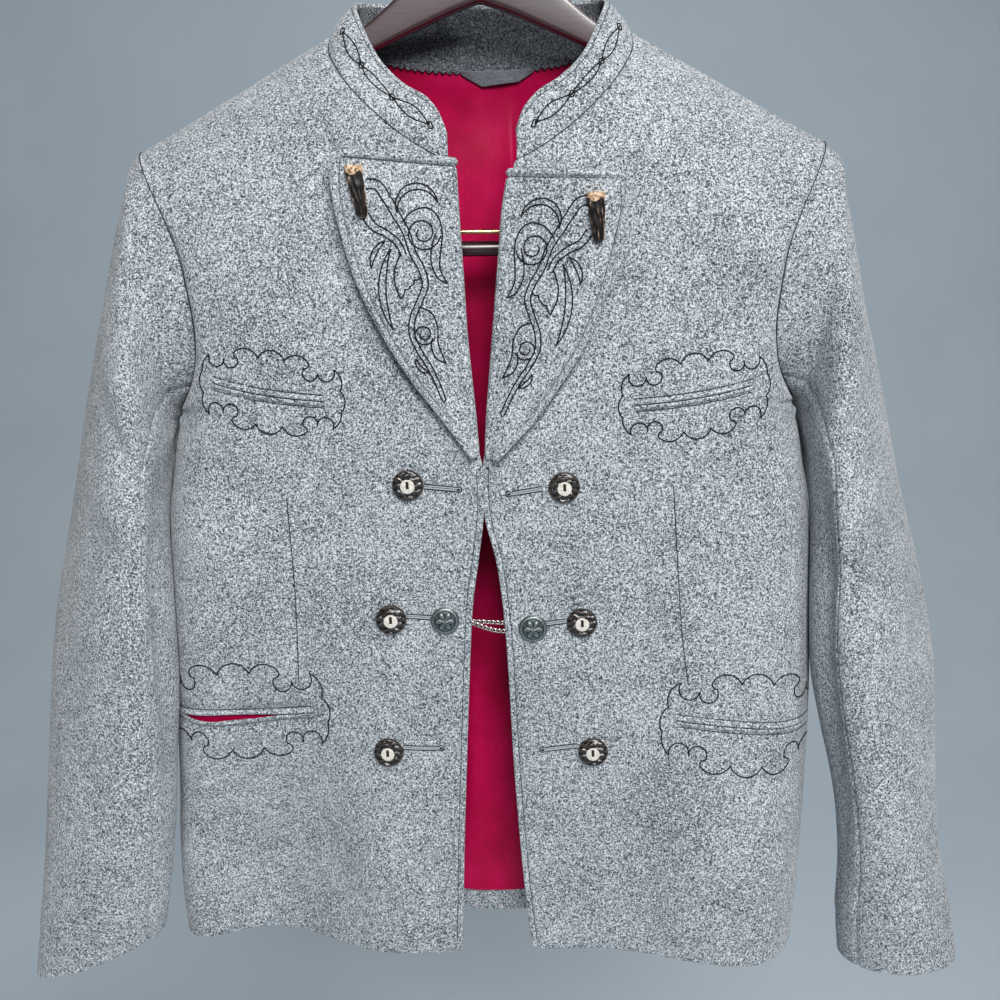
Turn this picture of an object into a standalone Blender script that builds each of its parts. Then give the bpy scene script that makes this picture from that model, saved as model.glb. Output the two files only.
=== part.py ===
"""A grey loden jacket of the Tyrolean kind, hanging open on a wooden suit hanger.

Lengths in the tables are millimetres and are turned to metres where a mesh is made. The origin is the
inner top of the hanger's hook, where a rail carries it. +Z is up, the fronts face -Y, and "left" is the
side at -X. Every cloth piece is a wall: a grid of outer points, computed from the garment's sections, and
the same grid moved inwards by the cloth's thickness.
"""

import math
from collections import namedtuple

import bmesh
import bpy
from mathutils import Vector

for old in list(bpy.data.objects):
    bpy.data.objects.remove(old, do_unlink=True)

MM = 0.001

# Cloth
LODEN = 2.2
COLLAR_CLOTH = 2.6
LINING = 0.9
FELT = 1.3
GAP = 0.3
HALF_GAP = GAP / 2

# Neck, shoulders and hem
NECK_HALF_WIDTH = 103.0
NECK_RIDGE_Z = -131.0
SHOULDER_SLOPE = 0.549
SHOULDER_HALF_WIDTH = 236.0
SHOULDER_ROUNDING = 120.0
ARMHOLE_TOP_Z = NECK_RIDGE_Z - SHOULDER_SLOPE * (SHOULDER_HALF_WIDTH - NECK_HALF_WIDTH)
ARMHOLE_BOTTOM_Z = -382.0
ARMHOLE_FRONT_DEPTH = 50.0
ARMHOLE_BACK_DEPTH = 42.0
ARMHOLE_BOTTOM_Y = 8.0
ARMHOLE_STEPS = 10
BREAK_Z = -415.0
HEM_Z = -799.0
BACK_HEM_DROP = 9.0

LEFT, RIGHT = -1, 1
FRONT, BACK = -1, 1

# Depth of the flat of the front and of the back at each height
Depth = namedtuple("Depth", "z front back")
DEPTHS = [
    Depth(-120, -55, 47),
    Depth(-217, -55, 48),
    Depth(-300, -58, 49),
    Depth(-430, -57, 46),
    Depth(-600, -53, 36),
    Depth(-810, -50, 22),
]

# Side seam from the underarm to the hem
Side = namedtuple("Side", "z left_x right_x y")
SIDE_SEAM = [
    Side(-382, 222, 222, 8),
    Side(-405, 228, 228, 10),
    Side(-430, 232, 232, 12),
    Side(-465, 238, 238, 14),
    Side(-505, 241, 241, 15),
    Side(-545, 243, 243, 15),
    Side(-585, 245, 244, 14),
    Side(-630, 246, 244, 12),
    Side(-675, 248, 243, 10),
    Side(-718, 251, 241, 8),
    Side(-760, 252, 239, 6),
    Side(HEM_Z, 251, 236, 5),
]
SIDE_ROUNDING = 60.0

# Armhole seam as seen from the front, and the fuller one of the back
Armhole = namedtuple("Armhole", "z front_x back_x")
ARMHOLE = [
    Armhole(ARMHOLE_TOP_Z, 236, 236),
    Armhole(-212, 232, 234.5),
    Armhole(-230, 223, 230),
    Armhole(-255, 211.5, 225),
    Armhole(-276, 204.5, 222),
    Armhole(-300, 201, 220),
    Armhole(-323, 199.5, 219),
    Armhole(-345, 202, 219),
    Armhole(-362, 208, 220),
    Armhole(-375, 216, 221.5),
    Armhole(ARMHOLE_BOTTOM_Z, 222, 222),
]

# Neck seam of a front, from the shoulder to the centre, and of the back, from the shoulder to the middle
Neck = namedtuple("Neck", "x z")
FRONT_NECK = [
    Neck(NECK_HALF_WIDTH, NECK_RIDGE_Z),
    Neck(101.5, -145),
    Neck(87, -167),
    Neck(65, -189),
    Neck(44, -205),
    Neck(23, -217),
]
BACK_NECK = [
    Neck(NECK_HALF_WIDTH, NECK_RIDGE_Z),
    Neck(92, -137),
    Neck(71, -142),
    Neck(40, -146),
    Neck(0, -147),
]

# Front edges: roll line down to the break, then the cut edge that swings open to the hem
Edge = namedtuple("Edge", "z left_x right_x")
FRONT_EDGE = [
    Edge(-226, -16.5, 16.0),
    Edge(-254, -15.3, 11.0),
    Edge(-283, -14.0, 8.0),
    Edge(-325, -12.0, 4.4),
    Edge(-372, -8.2, 0.2),
    Edge(BREAK_Z, -4.7, -2.9),
    Edge(-453, -4.5, -2.6),
    Edge(-486, -8.6, 5.0),
    Edge(-516, -13.0, 9.0),
    Edge(-546, -15.3, 11.4),
    Edge(-592, -17.9, 13.6),
    Edge(-641, -20.4, 15.6),
    Edge(-698, -23.2, 19.0),
    Edge(-758, -25.6, 23.7),
    Edge(-800, -27.2, 28.2),
]

# The largest soft waves, deepest at the hem, that swell out of the fronts and the back
Fold = namedtuple("Fold", "face hem_x top_x top_z half_width depth")
FOLDS = [
    Fold(FRONT, -178, -165, -520, 95, 35),
    Fold(FRONT, 187, 160, -470, 120, -27),
    Fold(FRONT, -62, -70, -480, 60, -3),
    Fold(BACK, -120, -95, -330, 85, 9),
    Fold(BACK, 130, 100, -360, 80, 7),
    Fold(BACK, 10, 0, -400, 60, -5),
]

# Sleeve sections, each a ring through an inner and an outer point. y is its middle, half_depth its half
# width in y, and lean the angle by which the ring's inner side is carried forward of its outer side.
Section = namedtuple("Section", "inner_x inner_z outer_x outer_z y half_depth lean")
SLEEVE_LEFT = [
    Section(223.8, -384, 242, -211, 4, 50, 0),
    Section(224.5, -388, 246, -224, 3, 53, 0),
    Section(226.5, -391, 253, -242, 1, 55, 5),
    Section(226.5, -395, 261, -265, -1, 57, 12),
    Section(226.0, -401, 273, -300, -4, 58, 20),
    Section(225.5, -410, 284, -335, -8, 58, 29),
    Section(226.0, -428, 296, -378, -13, 57, 36),
    Section(227.0, -457, 307, -428, -20, 56, 40),
    Section(227.0, -497, 316, -475, -27, 53, 38),
    Section(226.0, -541, 325, -523, -33, 50, 35),
    Section(225.0, -585, 331, -572, -38, 46, 32),
    Section(228.5, -630, 335, -624, -43, 42, 28),
    Section(232.0, -676, 339, -678, -48, 37, 22),
    Section(240.5, -722, 343, -728, -52, 32, 14),
    Section(247.0, -750, 348, -768, -54, 29, 7),
    Section(252.5, -771, 353, -807, -55, 26, 0),
]
SLEEVE_RIGHT = [
    Section(223.8, -384, 246, -212, 4, 50, 0),
    Section(224.5, -388, 248, -226, 3, 53, 0),
    Section(226.5, -391, 254, -247, 1, 55, 5),
    Section(226.5, -395, 261, -271, -1, 57, 12),
    Section(226.0, -401, 270, -303, -4, 58, 20),
    Section(225.5, -410, 280, -336, -8, 58, 29),
    Section(226.0, -428, 292, -380, -13, 57, 36),
    Section(227.5, -457, 304, -432, -20, 56, 40),
    Section(229.0, -497, 316, -483, -27, 53, 38),
    Section(231.0, -541, 327, -535, -33, 50, 35),
    Section(238.0, -585, 333, -580, -38, 47, 32),
    Section(245.0, -630, 334, -632, -43, 44, 28),
    Section(251.0, -676, 335, -684, -48, 40, 22),
    Section(255.5, -722, 339, -729, -51, 37, 14),
    Section(258.0, -764, 347, -768, -52, 35, 7),
    Section(263.0, -804, 352, -802, -52, 33, 0),
]
SLEEVE_RING = 2 * ARMHOLE_STEPS
FOREARM_SEAM = 8
HIND_ARM_SEAM = 13

# Collar: top edge over each neck station, from the front end to the middle of the back
Top = namedtuple("Top", "x y z")
COLLAR_TOP = [
    Top(23, -47, -192),
    Top(36, -40, -175.5),
    Top(53, -32, -164),
    Top(69, -22, -147),
    Top(82, -8, -120),
    Top(86, 4, -110),
    Top(82, 18, -107),
    Top(66, 31, -106),
    Top(38, 41, -105.5),
    Top(0, 45, -105),
]
COLLAR_RISE = [0.0, 0.2, 0.6, 1.0]
COLLAR_SEAM = 0.5

# Lapels: roll line and outer edge, from the top edge down to the tip
Lapel = namedtuple("Lapel", "roll_x roll_z edge_x edge_z")
LAPEL_LEFT = [
    Lapel(-16.8, -215.5, -92, -208.5),
    Lapel(-16.6, -221, -98.4, -214),
    Lapel(-15.8, -243, -97, -237),
    Lapel(-14.6, -268, -91.5, -265),
    Lapel(-13.2, -298, -82, -297),
    Lapel(-11.8, -328, -67.5, -328),
    Lapel(-9.5, -357, -49.5, -358),
    Lapel(-7.2, -384, -29.5, -385),
    Lapel(-5.4, -411, -10.4, -410.5),
]
LAPEL_RIGHT = [
    Lapel(16.4, -222.5, 89.5, -225.0),
    Lapel(15.2, -228.5, 95.8, -231),
    Lapel(11.8, -248, 93.6, -251),
    Lapel(9.6, -272, 87.8, -276),
    Lapel(7.0, -300, 79, -305),
    Lapel(4.4, -328, 67, -334),
    Lapel(1.6, -357, 50, -361),
    Lapel(-0.8, -384, 30.5, -388),
    Lapel(-2.2, -412, 6.4, -413),
]
LAPEL_COLUMNS = 6
LAPEL_BELLY = 2.0
LAPEL_EDGE_LIFT = 0.8

# Jetted pockets: middle line of the mouth, and how far it gapes
Pocket = namedtuple("Pocket", "name inner_x inner_z outer_x outer_z sag gape")
POCKETS = [
    Pocket("chest_left", -110, -372, -186, -359, 2.0, 0.6),
    Pocket("chest_right", 101, -378, 181, -366, 2.0, 0.6),
    Pocket("hip_left", -132, -603, -236, -603, 2.5, 4.6),
    Pocket("hip_right", 134, -611, 235, -619, 3.0, 0.6),
]
JET_HEIGHT = 3.0
JET_RISE = 1.3
JET_COLUMNS = 12
JET_REACH = 2.0

# Buttons
Button = namedtuple("Button", "x z")
ANTLER_BUTTONS = [
    Button(-55.6, -431.0),
    Button(52.4, -434.3),
    Button(-71.1, -529.1),
    Button(64.9, -533.7),
    Button(-76.7, -631.5),
    Button(73.3, -634.2),
]
ANTLER_PROFILE = [(6.0, 0.0), (9.6, 0.7), (11.0, 2.4), (10.2, 4.2), (5.6, 4.6)]
CENTRE_PROFILE = [(4.6, 0.0), (4.6, 0.7), (3.9, 1.2)]
METAL_BUTTONS = [Button(-32.6, -529.8), Button(29.9, -536.9)]
METAL_PROFILE = [(3.0, 0.0), (9.2, 1.0), (10.3, 1.9), (9.4, 3.2), (6.4, 4.7), (2.6, 5.4)]
BUTTON_SIDES = 16
BUTTON_STANDOFF = 0.45

# Chain: two strands from behind one front to behind the other
CHAIN_RADIUS = 0.9
CHAIN_SPREAD = 2.6
CHAIN_SAG = 3.0
CHAIN_POINTS = 13

# Horn toggles: top and lower end on the lapel, radius across at each end
Toggle = namedtuple("Toggle", "side top_x top_z low_x low_z")
TOGGLES = [
    Toggle(LEFT, -83.0, -219.5, -77.6, -252.0),
    Toggle(RIGHT, 72.5, -238.5, 74.6, -270.0),
]
TOGGLE_STATIONS = [(0.0, 6.2), (0.12, 6.1), (0.5, 4.9), (0.85, 3.5), (1.0, 2.2)]
TOGGLE_SIDES = 10
TOGGLE_FLATNESS = 0.62
TOGGLE_STANDOFF = 1.0

# Neck label, hung from the collar seam
LABEL_CORNERS = [(-15.0, -151.0), (0.0, -159.0), (26.0, -156.5), (37.0, -150.0)]
LABEL_TOP_Z = -149.5
LABEL_THICKNESS = 0.9

# Hanger
Arm = namedtuple("Arm", "x top low")
ARMS = [
    Arm(0, -75, -111),
    Arm(20, -82, -118),
    Arm(38, -92, -125.5),
    Arm(56, -107, -133),
    Arm(74, -122, -141),
    Arm(90, -132, -150),
    Arm(106, -139.5, -157),
    Arm(126, -147.8, -164.7),
    Arm(160, -166.2, -182.2),
    Arm(195, -185.4, -199.2),
    Arm(214, -195.8, -206.2),
]
ARM_HALF_DEPTH = 7.0
BAR_Z = -272.5
BAR_RADIUS = 5.5
BAR_HALF_LENGTH = 172.0
BAR_WIRE_X = 164.0
ROD_Y = -12.0
ROD_Z = -261.0
ROD_RADIUS = 1.5
ROD_HALF_LENGTH = 149.5
ROD_LEG_X = 148.0
HOOK_WIRE_RADIUS = 2.0
HOOK_INNER_RADIUS = 19.0


def smoothstep(value):
    value = min(1.0, max(0.0, value))
    return value * value * (3 - 2 * value)


def read(table, key, column, value):
    """The column's value at a key value, on a smooth curve through the table's rows."""
    rows = sorted(table, key=lambda row: getattr(row, key))
    keys = [getattr(row, key) for row in rows]
    values = [getattr(row, column) for row in rows]
    if value <= keys[0]:
        return values[0]
    if value >= keys[-1]:
        return values[-1]
    after = next(i for i, k in enumerate(keys) if k >= value)
    before = after - 1

    def slope(i):
        low, high = max(0, i - 1), min(len(keys) - 1, i + 1)
        return (values[high] - values[low]) / (keys[high] - keys[low])

    span = keys[after] - keys[before]
    t = (value - keys[before]) / span
    return (
        values[before] * (2 * t**3 - 3 * t**2 + 1)
        + slope(before) * span * (t**3 - 2 * t**2 + t)
        + values[after] * (3 * t**2 - 2 * t**3)
        + slope(after) * span * (t**3 - t**2)
    )


def ridge_z(x):
    """Height of the shoulder line, carried on over the neck hole as a tent."""
    return NECK_RIDGE_Z - SHOULDER_SLOPE * (abs(x) - NECK_HALF_WIDTH)


def fold_depth(face, x, z):
    total = 0.0
    for fold in FOLDS:
        if fold.face != face or z >= fold.top_z:
            continue
        down = (fold.top_z - z) / (fold.top_z - HEM_Z)
        middle = fold.top_x + (fold.hem_x - fold.top_x) * down
        across = abs(x - middle) / fold.half_width
        if across < 1:
            total += fold.depth * smoothstep(down) * (1 + math.cos(math.pi * across)) / 2
    return total


def cloth_y(face, x, z):
    """Depth of the cloth's outer side: flat below, rounded up to the shoulder line."""
    flat = read(DEPTHS, "z", "front" if face == FRONT else "back", z)
    drop = (ridge_z(x) - z) / SHOULDER_ROUNDING
    drop = min(1.0, max(0.0, drop))
    return flat * (1 - (1 - drop) ** 1.8) ** (1 / 1.5) + fold_depth(face, x, z)


def armhole_point(side, face, step):
    """Armhole seam, from the shoulder point (step 0) to the underarm (step ARMHOLE_STEPS)."""
    angle = math.pi * step / ARMHOLE_STEPS
    middle = (ARMHOLE_TOP_Z + ARMHOLE_BOTTOM_Z) / 2
    z = middle + (ARMHOLE_TOP_Z - middle) * math.cos(angle)
    depth = ARMHOLE_FRONT_DEPTH if face == FRONT else ARMHOLE_BACK_DEPTH
    y = face * max(HALF_GAP, depth * math.sin(angle) ** 0.85)
    y += ARMHOLE_BOTTOM_Y * (1 - math.cos(angle)) / 2
    x = side * read(ARMHOLE, "z", "front_x" if face == FRONT else "back_x", z)
    return Vector((x, y, z))


def armhole_inward(side, face, step, across):
    """Direction of the cloth's thickness along the armhole: towards its middle, and at the underarm
    towards the side that `across` gives."""
    angle = math.pi * step / ARMHOLE_STEPS
    radial = Vector((0, -face * math.sin(angle), -math.cos(angle)))
    turn = smoothstep((step / ARMHOLE_STEPS - 0.55) / 0.45)
    return (radial * (1 - turn) + Vector((side * across, 0, 0)) * turn).normalized()


SIDE_LEVELS = [row.z for row in SIDE_SEAM[1:]]
ROWS = ARMHOLE_STEPS + 1 + len(SIDE_LEVELS)


def outer_point(side, face, row):
    """Outer border of a front or of half the back: armhole, then side seam."""
    if row <= ARMHOLE_STEPS:
        return armhole_point(side, face, row)
    seam = SIDE_SEAM[row - ARMHOLE_STEPS]
    x = seam.left_x if side == LEFT else seam.right_x
    return Vector((side * x, seam.y + face * HALF_GAP, seam.z))


def rounded(outer, face, x, z, distance):
    """Depth at a distance from the outer border, rounded out of it."""
    share = min(1.0, distance / SIDE_ROUNDING)
    return outer.y + (cloth_y(face, x, z) - outer.y) * math.sqrt(1 - (1 - share) ** 2)


def inward_normals(grid, sign):
    """Unit normals of a grid of points, on the side that sign picks."""
    rows, columns = len(grid), len(grid[0])
    normals = []
    for i in range(rows):
        line = []
        for j in range(columns):
            down = grid[min(rows - 1, i + 1)][j] - grid[max(0, i - 1)][j]
            along = grid[i][min(columns - 1, j + 1)] - grid[i][max(0, j - 1)]
            line.append((down.cross(along) * sign).normalized())
        normals.append(line)
    return normals


def facing(grid, direction):
    """Sign that turns the grid's middle normal to a direction."""
    middle = inward_normals(grid, 1)[len(grid) // 2][len(grid[0]) // 2]
    return 1 if middle.dot(Vector(direction)) > 0 else -1


def moved(grid, normals, distance):
    return [[p + n * distance for p, n in zip(*lines)] for lines in zip(grid, normals)]


def material(name, colour, roughness, metallic=0.0):
    found = bpy.data.materials.get(name)
    if found:
        return found
    made = bpy.data.materials.new(name)
    made.use_nodes = True
    shader = made.node_tree.nodes["Principled BSDF"]
    shader.inputs["Base Color"].default_value = (*colour, 1.0)
    shader.inputs["Roughness"].default_value = roughness
    shader.inputs["Metallic"].default_value = metallic
    return made


def loden():
    return material("grey_loden", (0.36, 0.38, 0.40), 0.95)


def satin():
    return material("crimson_satin", (0.45, 0.0, 0.07), 0.4)


def felt():
    return material("dark_grey_felt", (0.13, 0.14, 0.15), 0.95)


def horn():
    return material("dark_horn", (0.05, 0.03, 0.02), 0.45)


def wood():
    return material("mahogany_stained_wood", (0.09, 0.02, 0.02), 0.35)


def steel():
    return material("nickel_plated_steel", (0.75, 0.75, 0.76), 0.25, 1.0)


def finish(mesh_builder, name, look, smooth_angle=50):
    """Turns millimetres to metres, faces everything outwards and links the object."""
    bmesh.ops.recalc_face_normals(mesh_builder, faces=mesh_builder.faces)
    bmesh.ops.scale(mesh_builder, vec=(MM, MM, MM), verts=mesh_builder.verts)
    mesh = bpy.data.meshes.new(name)
    mesh_builder.to_mesh(mesh)
    mesh_builder.free()
    mesh.shade_smooth()
    mesh.set_sharp_from_angle(angle=math.radians(smooth_angle))
    made = bpy.data.objects.new(name, mesh)
    made.data.materials.append(look)
    bpy.context.scene.collection.objects.link(made)
    return made


def wall(name, outer, inner, look):
    """A closed wall between two grids of points."""
    shape = bmesh.new()
    rows, columns = len(outer), len(outer[0])
    skins = [[[shape.verts.new(p) for p in line] for line in grid] for grid in (outer, inner)]
    for skin in skins:
        for i in range(rows - 1):
            for j in range(columns - 1):
                shape.faces.new((skin[i][j], skin[i][j + 1], skin[i + 1][j + 1], skin[i + 1][j]))
    out, back = skins
    for i in range(rows - 1):
        for j in (0, columns - 1):
            shape.faces.new((out[i][j], out[i + 1][j], back[i + 1][j], back[i][j]))
    for j in range(columns - 1):
        for i in (0, rows - 1):
            shape.faces.new((out[i][j], out[i][j + 1], back[i][j + 1], back[i][j]))
    return finish(shape, name, look)


def rings(name, loops, look):
    """A closed solid through rings of equal length, capped at both ends."""
    shape = bmesh.new()
    made = [[shape.verts.new(p) for p in loop] for loop in loops]
    count = len(made[0])
    for first, second in zip(made, made[1:]):
        for j in range(count):
            after = (j + 1) % count
            shape.faces.new((first[j], first[after], second[after], second[j]))
    shape.faces.new(made[0])
    shape.faces.new(made[-1])
    return finish(shape, name, look, 35)


def wire(name, points, radius, look):
    """A round wire through points, as a curve with filled ends."""
    curve = bpy.data.curves.new(name, "CURVE")
    curve.dimensions = "3D"
    curve.bevel_depth = radius * MM
    curve.bevel_resolution = 2
    curve.use_fill_caps = True
    spline = curve.splines.new("POLY")
    spline.points.add(len(points) - 1)
    for target, point in zip(spline.points, points):
        target.co = (*(Vector(point) * MM), 1.0)
    made = bpy.data.objects.new(name, curve)
    made.data.materials.append(look)
    bpy.context.scene.collection.objects.link(made)
    return made


# --- Fronts ------------------------------------------------------------------------------------------
# Loden panels from the shoulder and armhole to the hem, open down the middle.

ROUND_STEPS = 5
ROUND_SHARES = [1 - math.cos(math.pi / 2 * k / ROUND_STEPS) for k in range(ROUND_STEPS + 1)]
FRONT_FLAT_COLUMNS = 7
EDGE_LEVELS = [row.z for row in FRONT_EDGE]


def inner_point(side, row):
    """Inner border of a front: neck seam, then roll line and cut edge."""
    if row < len(FRONT_NECK):
        seam = FRONT_NECK[row]
        return side * seam.x, seam.z
    share = (row - len(FRONT_NECK)) / (ROWS - 1 - len(FRONT_NECK))
    place = share * (len(FRONT_EDGE) - 1)
    index = min(len(FRONT_EDGE) - 2, int(place))
    rest = place - index
    z = EDGE_LEVELS[index] * (1 - rest) + EDGE_LEVELS[index + 1] * rest
    return read(FRONT_EDGE, "z", "left_x" if side == LEFT else "right_x", z), z


def front_grid(side):
    grid = []
    for row in range(ROWS):
        outer = outer_point(side, FRONT, row)
        inner_x, inner_z = inner_point(side, row)
        length = abs(outer.x - inner_x)
        distances = [SIDE_ROUNDING * share for share in ROUND_SHARES]
        rest = length - SIDE_ROUNDING
        for k in range(1, FRONT_FLAT_COLUMNS + 1):
            distances.append(SIDE_ROUNDING + rest * k / FRONT_FLAT_COLUMNS)
        line = []
        for distance in distances:
            share = distance / length
            x = outer.x + (inner_x - outer.x) * share
            z = outer.z + (inner_z - outer.z) * share
            y = -HALF_GAP if row == 0 else rounded(outer, FRONT, x, z, distance)
            line.append(Vector((x, min(y, -HALF_GAP), z)))
        grid.append(line)
    return grid


def border_inward(side, face, row):
    """Thickness direction where a torso panel meets the sleeve or the other panel."""
    if row <= ARMHOLE_STEPS:
        return armhole_inward(side, face, row, -1)
    return Vector((-side, 0, 0))


def front_inner(side, grid):
    normals = inward_normals(grid, facing(grid, (0, 1, 0)))
    for row in range(ROWS):
        normals[row][0] = border_inward(side, FRONT, row)
    for column in range(1, len(grid[0])):
        normals[0][column] = Vector((0, 0, -1))
    return moved(grid, normals, LODEN)


fronts = {}
for side, word in ((LEFT, "left"), (RIGHT, "right")):
    grid = front_grid(side)
    fronts[side] = (grid, front_inner(side, grid))
    wall("front_" + word, *fronts[side], loden())


# --- Back --------------------------------------------------------------------------------------------
# One loden panel between the side seams, hollowed for the neck.

BACK_FLAT_SHARES = [0.62, 0.5]


def back_columns(outer, row):
    """Places across half the back, from the side seam to the middle, at one row."""
    places = [abs(outer.x) - SIDE_ROUNDING * share for share in ROUND_SHARES]
    scale = abs(outer.x) / SHOULDER_HALF_WIDTH
    places += [abs(outer.x) * share for share in BACK_FLAT_SHARES]
    return places + [seam.x * scale for seam in BACK_NECK]


def back_half(side):
    """Half the back, each line from the side to the middle."""
    top = [(x, ridge_z(x)) for x in back_columns(outer_point(side, BACK, 0), 0)[: -len(BACK_NECK)]]
    top += [(seam.x, seam.z) for seam in BACK_NECK]
    grid = []
    for row in range(ROWS):
        outer = outer_point(side, BACK, row)
        line = []
        for column, place in enumerate(back_columns(outer, row)):
            x = side * place
            if row <= ARMHOLE_STEPS:
                share = (ARMHOLE_TOP_Z - outer.z) / (ARMHOLE_TOP_Z - ARMHOLE_BOTTOM_Z)
                z = top[column][1] + (ARMHOLE_BOTTOM_Z - top[column][1]) * share
            else:
                drop = (ARMHOLE_BOTTOM_Z - outer.z) / (ARMHOLE_BOTTOM_Z - HEM_Z)
                middle = smoothstep((abs(outer.x) - place) / (2 * SIDE_ROUNDING))
                z = outer.z - BACK_HEM_DROP * drop * middle
            y = rounded(outer, BACK, x, z, abs(outer.x) - place)
            line.append(Vector((x, max(y, HALF_GAP), z)))
        grid.append(line)
    return grid


def back_grid():
    left, right = back_half(LEFT), back_half(RIGHT)
    return [one[:-1] + other[::-1] for one, other in zip(left, right)]


def back_inner(grid):
    normals = inward_normals(grid, facing(grid, (0, -1, 0)))
    last = len(grid[0]) - 1
    shoulder = len(back_columns(grid[0][0], 0)) - len(BACK_NECK)
    for row in range(ROWS):
        normals[row][0] = border_inward(LEFT, BACK, row)
        normals[row][last] = border_inward(RIGHT, BACK, row)
    for column in range(1, shoulder + 1):
        normals[0][column] = Vector((0, 0, -1))
        normals[0][last - column] = Vector((0, 0, -1))
    return moved(grid, normals, LODEN)


back_outside = back_grid()
back_inside = back_inner(back_outside)
wall("back", back_outside, back_inside, loden())


# --- Sleeves -----------------------------------------------------------------------------------------
# Two-piece sleeves set into the armholes; the hand end is open.


def sleeve_grid(side, sections):
    """Rings of points from the armhole to the cuff, and the direction of thickness at the first."""
    first, inward = [], []
    for step in range(SLEEVE_RING):
        face = FRONT if step <= ARMHOLE_STEPS else BACK
        place = step if face == FRONT else SLEEVE_RING - step
        point = armhole_point(side, face, place)
        if place in (0, ARMHOLE_STEPS):
            point.y -= face * HALF_GAP
        first.append(point + Vector((side * GAP, 0, 0)))
        inward.append(armhole_inward(side, face, place, 1))
    grid = [first]
    for section in sections:
        inner = Vector((side * section.inner_x, 0, section.inner_z))
        outer = Vector((side * section.outer_x, 0, section.outer_z))
        middle, half = (inner + outer) / 2, (outer - inner) / 2
        ring = []
        for step in range(SLEEVE_RING):
            angle = 2 * math.pi * step / SLEEVE_RING
            ahead = math.sin(angle - math.radians(section.lean))
            depth = Vector((0, section.y - ahead * section.half_depth, 0))
            ring.append(middle + half * math.cos(angle) + depth)
        grid.append(ring)
    return grid, inward


def closed_normals(grid, centre_sign):
    """Normals of a tube of rings."""
    rows, count = len(grid), len(grid[0])
    normals = []
    for i in range(rows):
        line = []
        for j in range(count):
            down = grid[min(rows - 1, i + 1)][j] - grid[max(0, i - 1)][j]
            along = grid[i][(j + 1) % count] - grid[i][(j - 1) % count]
            line.append((down.cross(along) * centre_sign).normalized())
        normals.append(line)
    return normals


def strip(grid, start, stop):
    """Columns of a tube from one seam to the other, each border drawn back by half the seam gap."""
    picked = []
    for ring in grid:
        line = [ring[k % SLEEVE_RING].copy() for k in range(start, stop + 1)]
        first, last = line[1] - line[0], line[-2] - line[-1]
        line[0] += first.normalized() * HALF_GAP
        line[-1] += last.normalized() * HALF_GAP
        picked.append(line)
    return picked


for side, word, sections in ((LEFT, "left", SLEEVE_LEFT), (RIGHT, "right", SLEEVE_RIGHT)):
    tube, first_inward = sleeve_grid(side, sections)
    middle_ring = tube[len(tube) // 2]
    centre = sum(middle_ring, Vector()) / SLEEVE_RING
    trial = closed_normals(tube, 1)[len(tube) // 2][0]
    tube_normals = closed_normals(tube, 1 if trial.dot(centre - middle_ring[0]) > 0 else -1)
    tube_normals[0] = first_inward
    lining_side = moved(tube, tube_normals, LODEN)
    for name, start, stop in (
        ("sleeve_top_", HIND_ARM_SEAM, SLEEVE_RING + FOREARM_SEAM),
        ("sleeve_under_", FOREARM_SEAM, HIND_ARM_SEAM),
    ):
        wall(name + word, strip(tube, start, stop), strip(lining_side, start, stop), loden())


# --- Collar ------------------------------------------------------------------------------------------
# A stand of loden round the neck, lined with a band of dark felt.

NECK_BACK_COLUMN = ROUND_STEPS + 1 + len(BACK_FLAT_SHARES)


def neck_border():
    """Outer and inner points of the neck seam, left front end to right front end, and the way on."""
    stations = []
    count = len(FRONT_NECK)
    left, left_in = fronts[LEFT]
    right, right_in = fronts[RIGHT]
    for row in reversed(range(count)):
        stations.append((left[row][-1], left_in[row][-1], left[row][-2]))
    last = len(back_outside[0]) - 1
    for column in range(NECK_BACK_COLUMN + 1, last - NECK_BACK_COLUMN):
        stations.append((back_outside[0][column], back_inside[0][column], back_outside[1][column]))
    for row in range(count):
        stations.append((right[row][-1], right_in[row][-1], right[row][-2]))
    return [(out, back, (out - next_point).normalized()) for out, back, next_point in stations]


def collar_tops():
    left = [Vector((-top.x, top.y, top.z)) for top in COLLAR_TOP]
    right = [Vector((top.x, top.y, top.z)) for top in COLLAR_TOP[:-1]]
    return left + right[::-1]


borders = neck_border()
tops = collar_tops()
collar_out = []
for rise in COLLAR_RISE:
    line = []
    for (out, _, onward), top in zip(borders, tops):
        base = out + onward * COLLAR_SEAM
        line.append(base.lerp(top, rise))
    collar_out.append(line)
collar_normals = inward_normals(collar_out, facing(collar_out, (0, -1, 0)))
collar_in = moved(collar_out, collar_normals, COLLAR_CLOTH)
collar_in[0] = [back + onward * COLLAR_SEAM for _, back, onward in borders]
wall("collar", collar_out, collar_in, loden())

band_rows = collar_in[1:]
band_normals = collar_normals[1:]
band_out = moved(band_rows, band_normals, GAP)
band_in = moved(band_rows, band_normals, GAP + FELT)
wall("collar_felt", [line[1:-1] for line in band_out], [line[1:-1] for line in band_in], felt())


# --- Back lining -------------------------------------------------------------------------------------
# Crimson satin over the inside of the back, ending a finger above the hem.

LINING_FIRST_ROW = 2
LINING_SIDE_MARGIN = 2
LINING_HEM_SHARE = 0.72

back_normals = inward_normals(back_inside, facing(back_inside, (0, -1, 0)))
lining_rows = []
for distance in (GAP, GAP + LINING):
    skin = moved(back_inside, back_normals, distance)[LINING_FIRST_ROW:]
    skin = [line[LINING_SIDE_MARGIN:-LINING_SIDE_MARGIN] for line in skin]
    skin[-1] = [above.lerp(hem, LINING_HEM_SHARE) for above, hem in zip(skin[-2], skin[-1])]
    lining_rows.append(skin)
wall("lining_back", *lining_rows, satin())


# --- Neck label --------------------------------------------------------------------------------------
# A blank tab of woven tape below the collar band.

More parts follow.
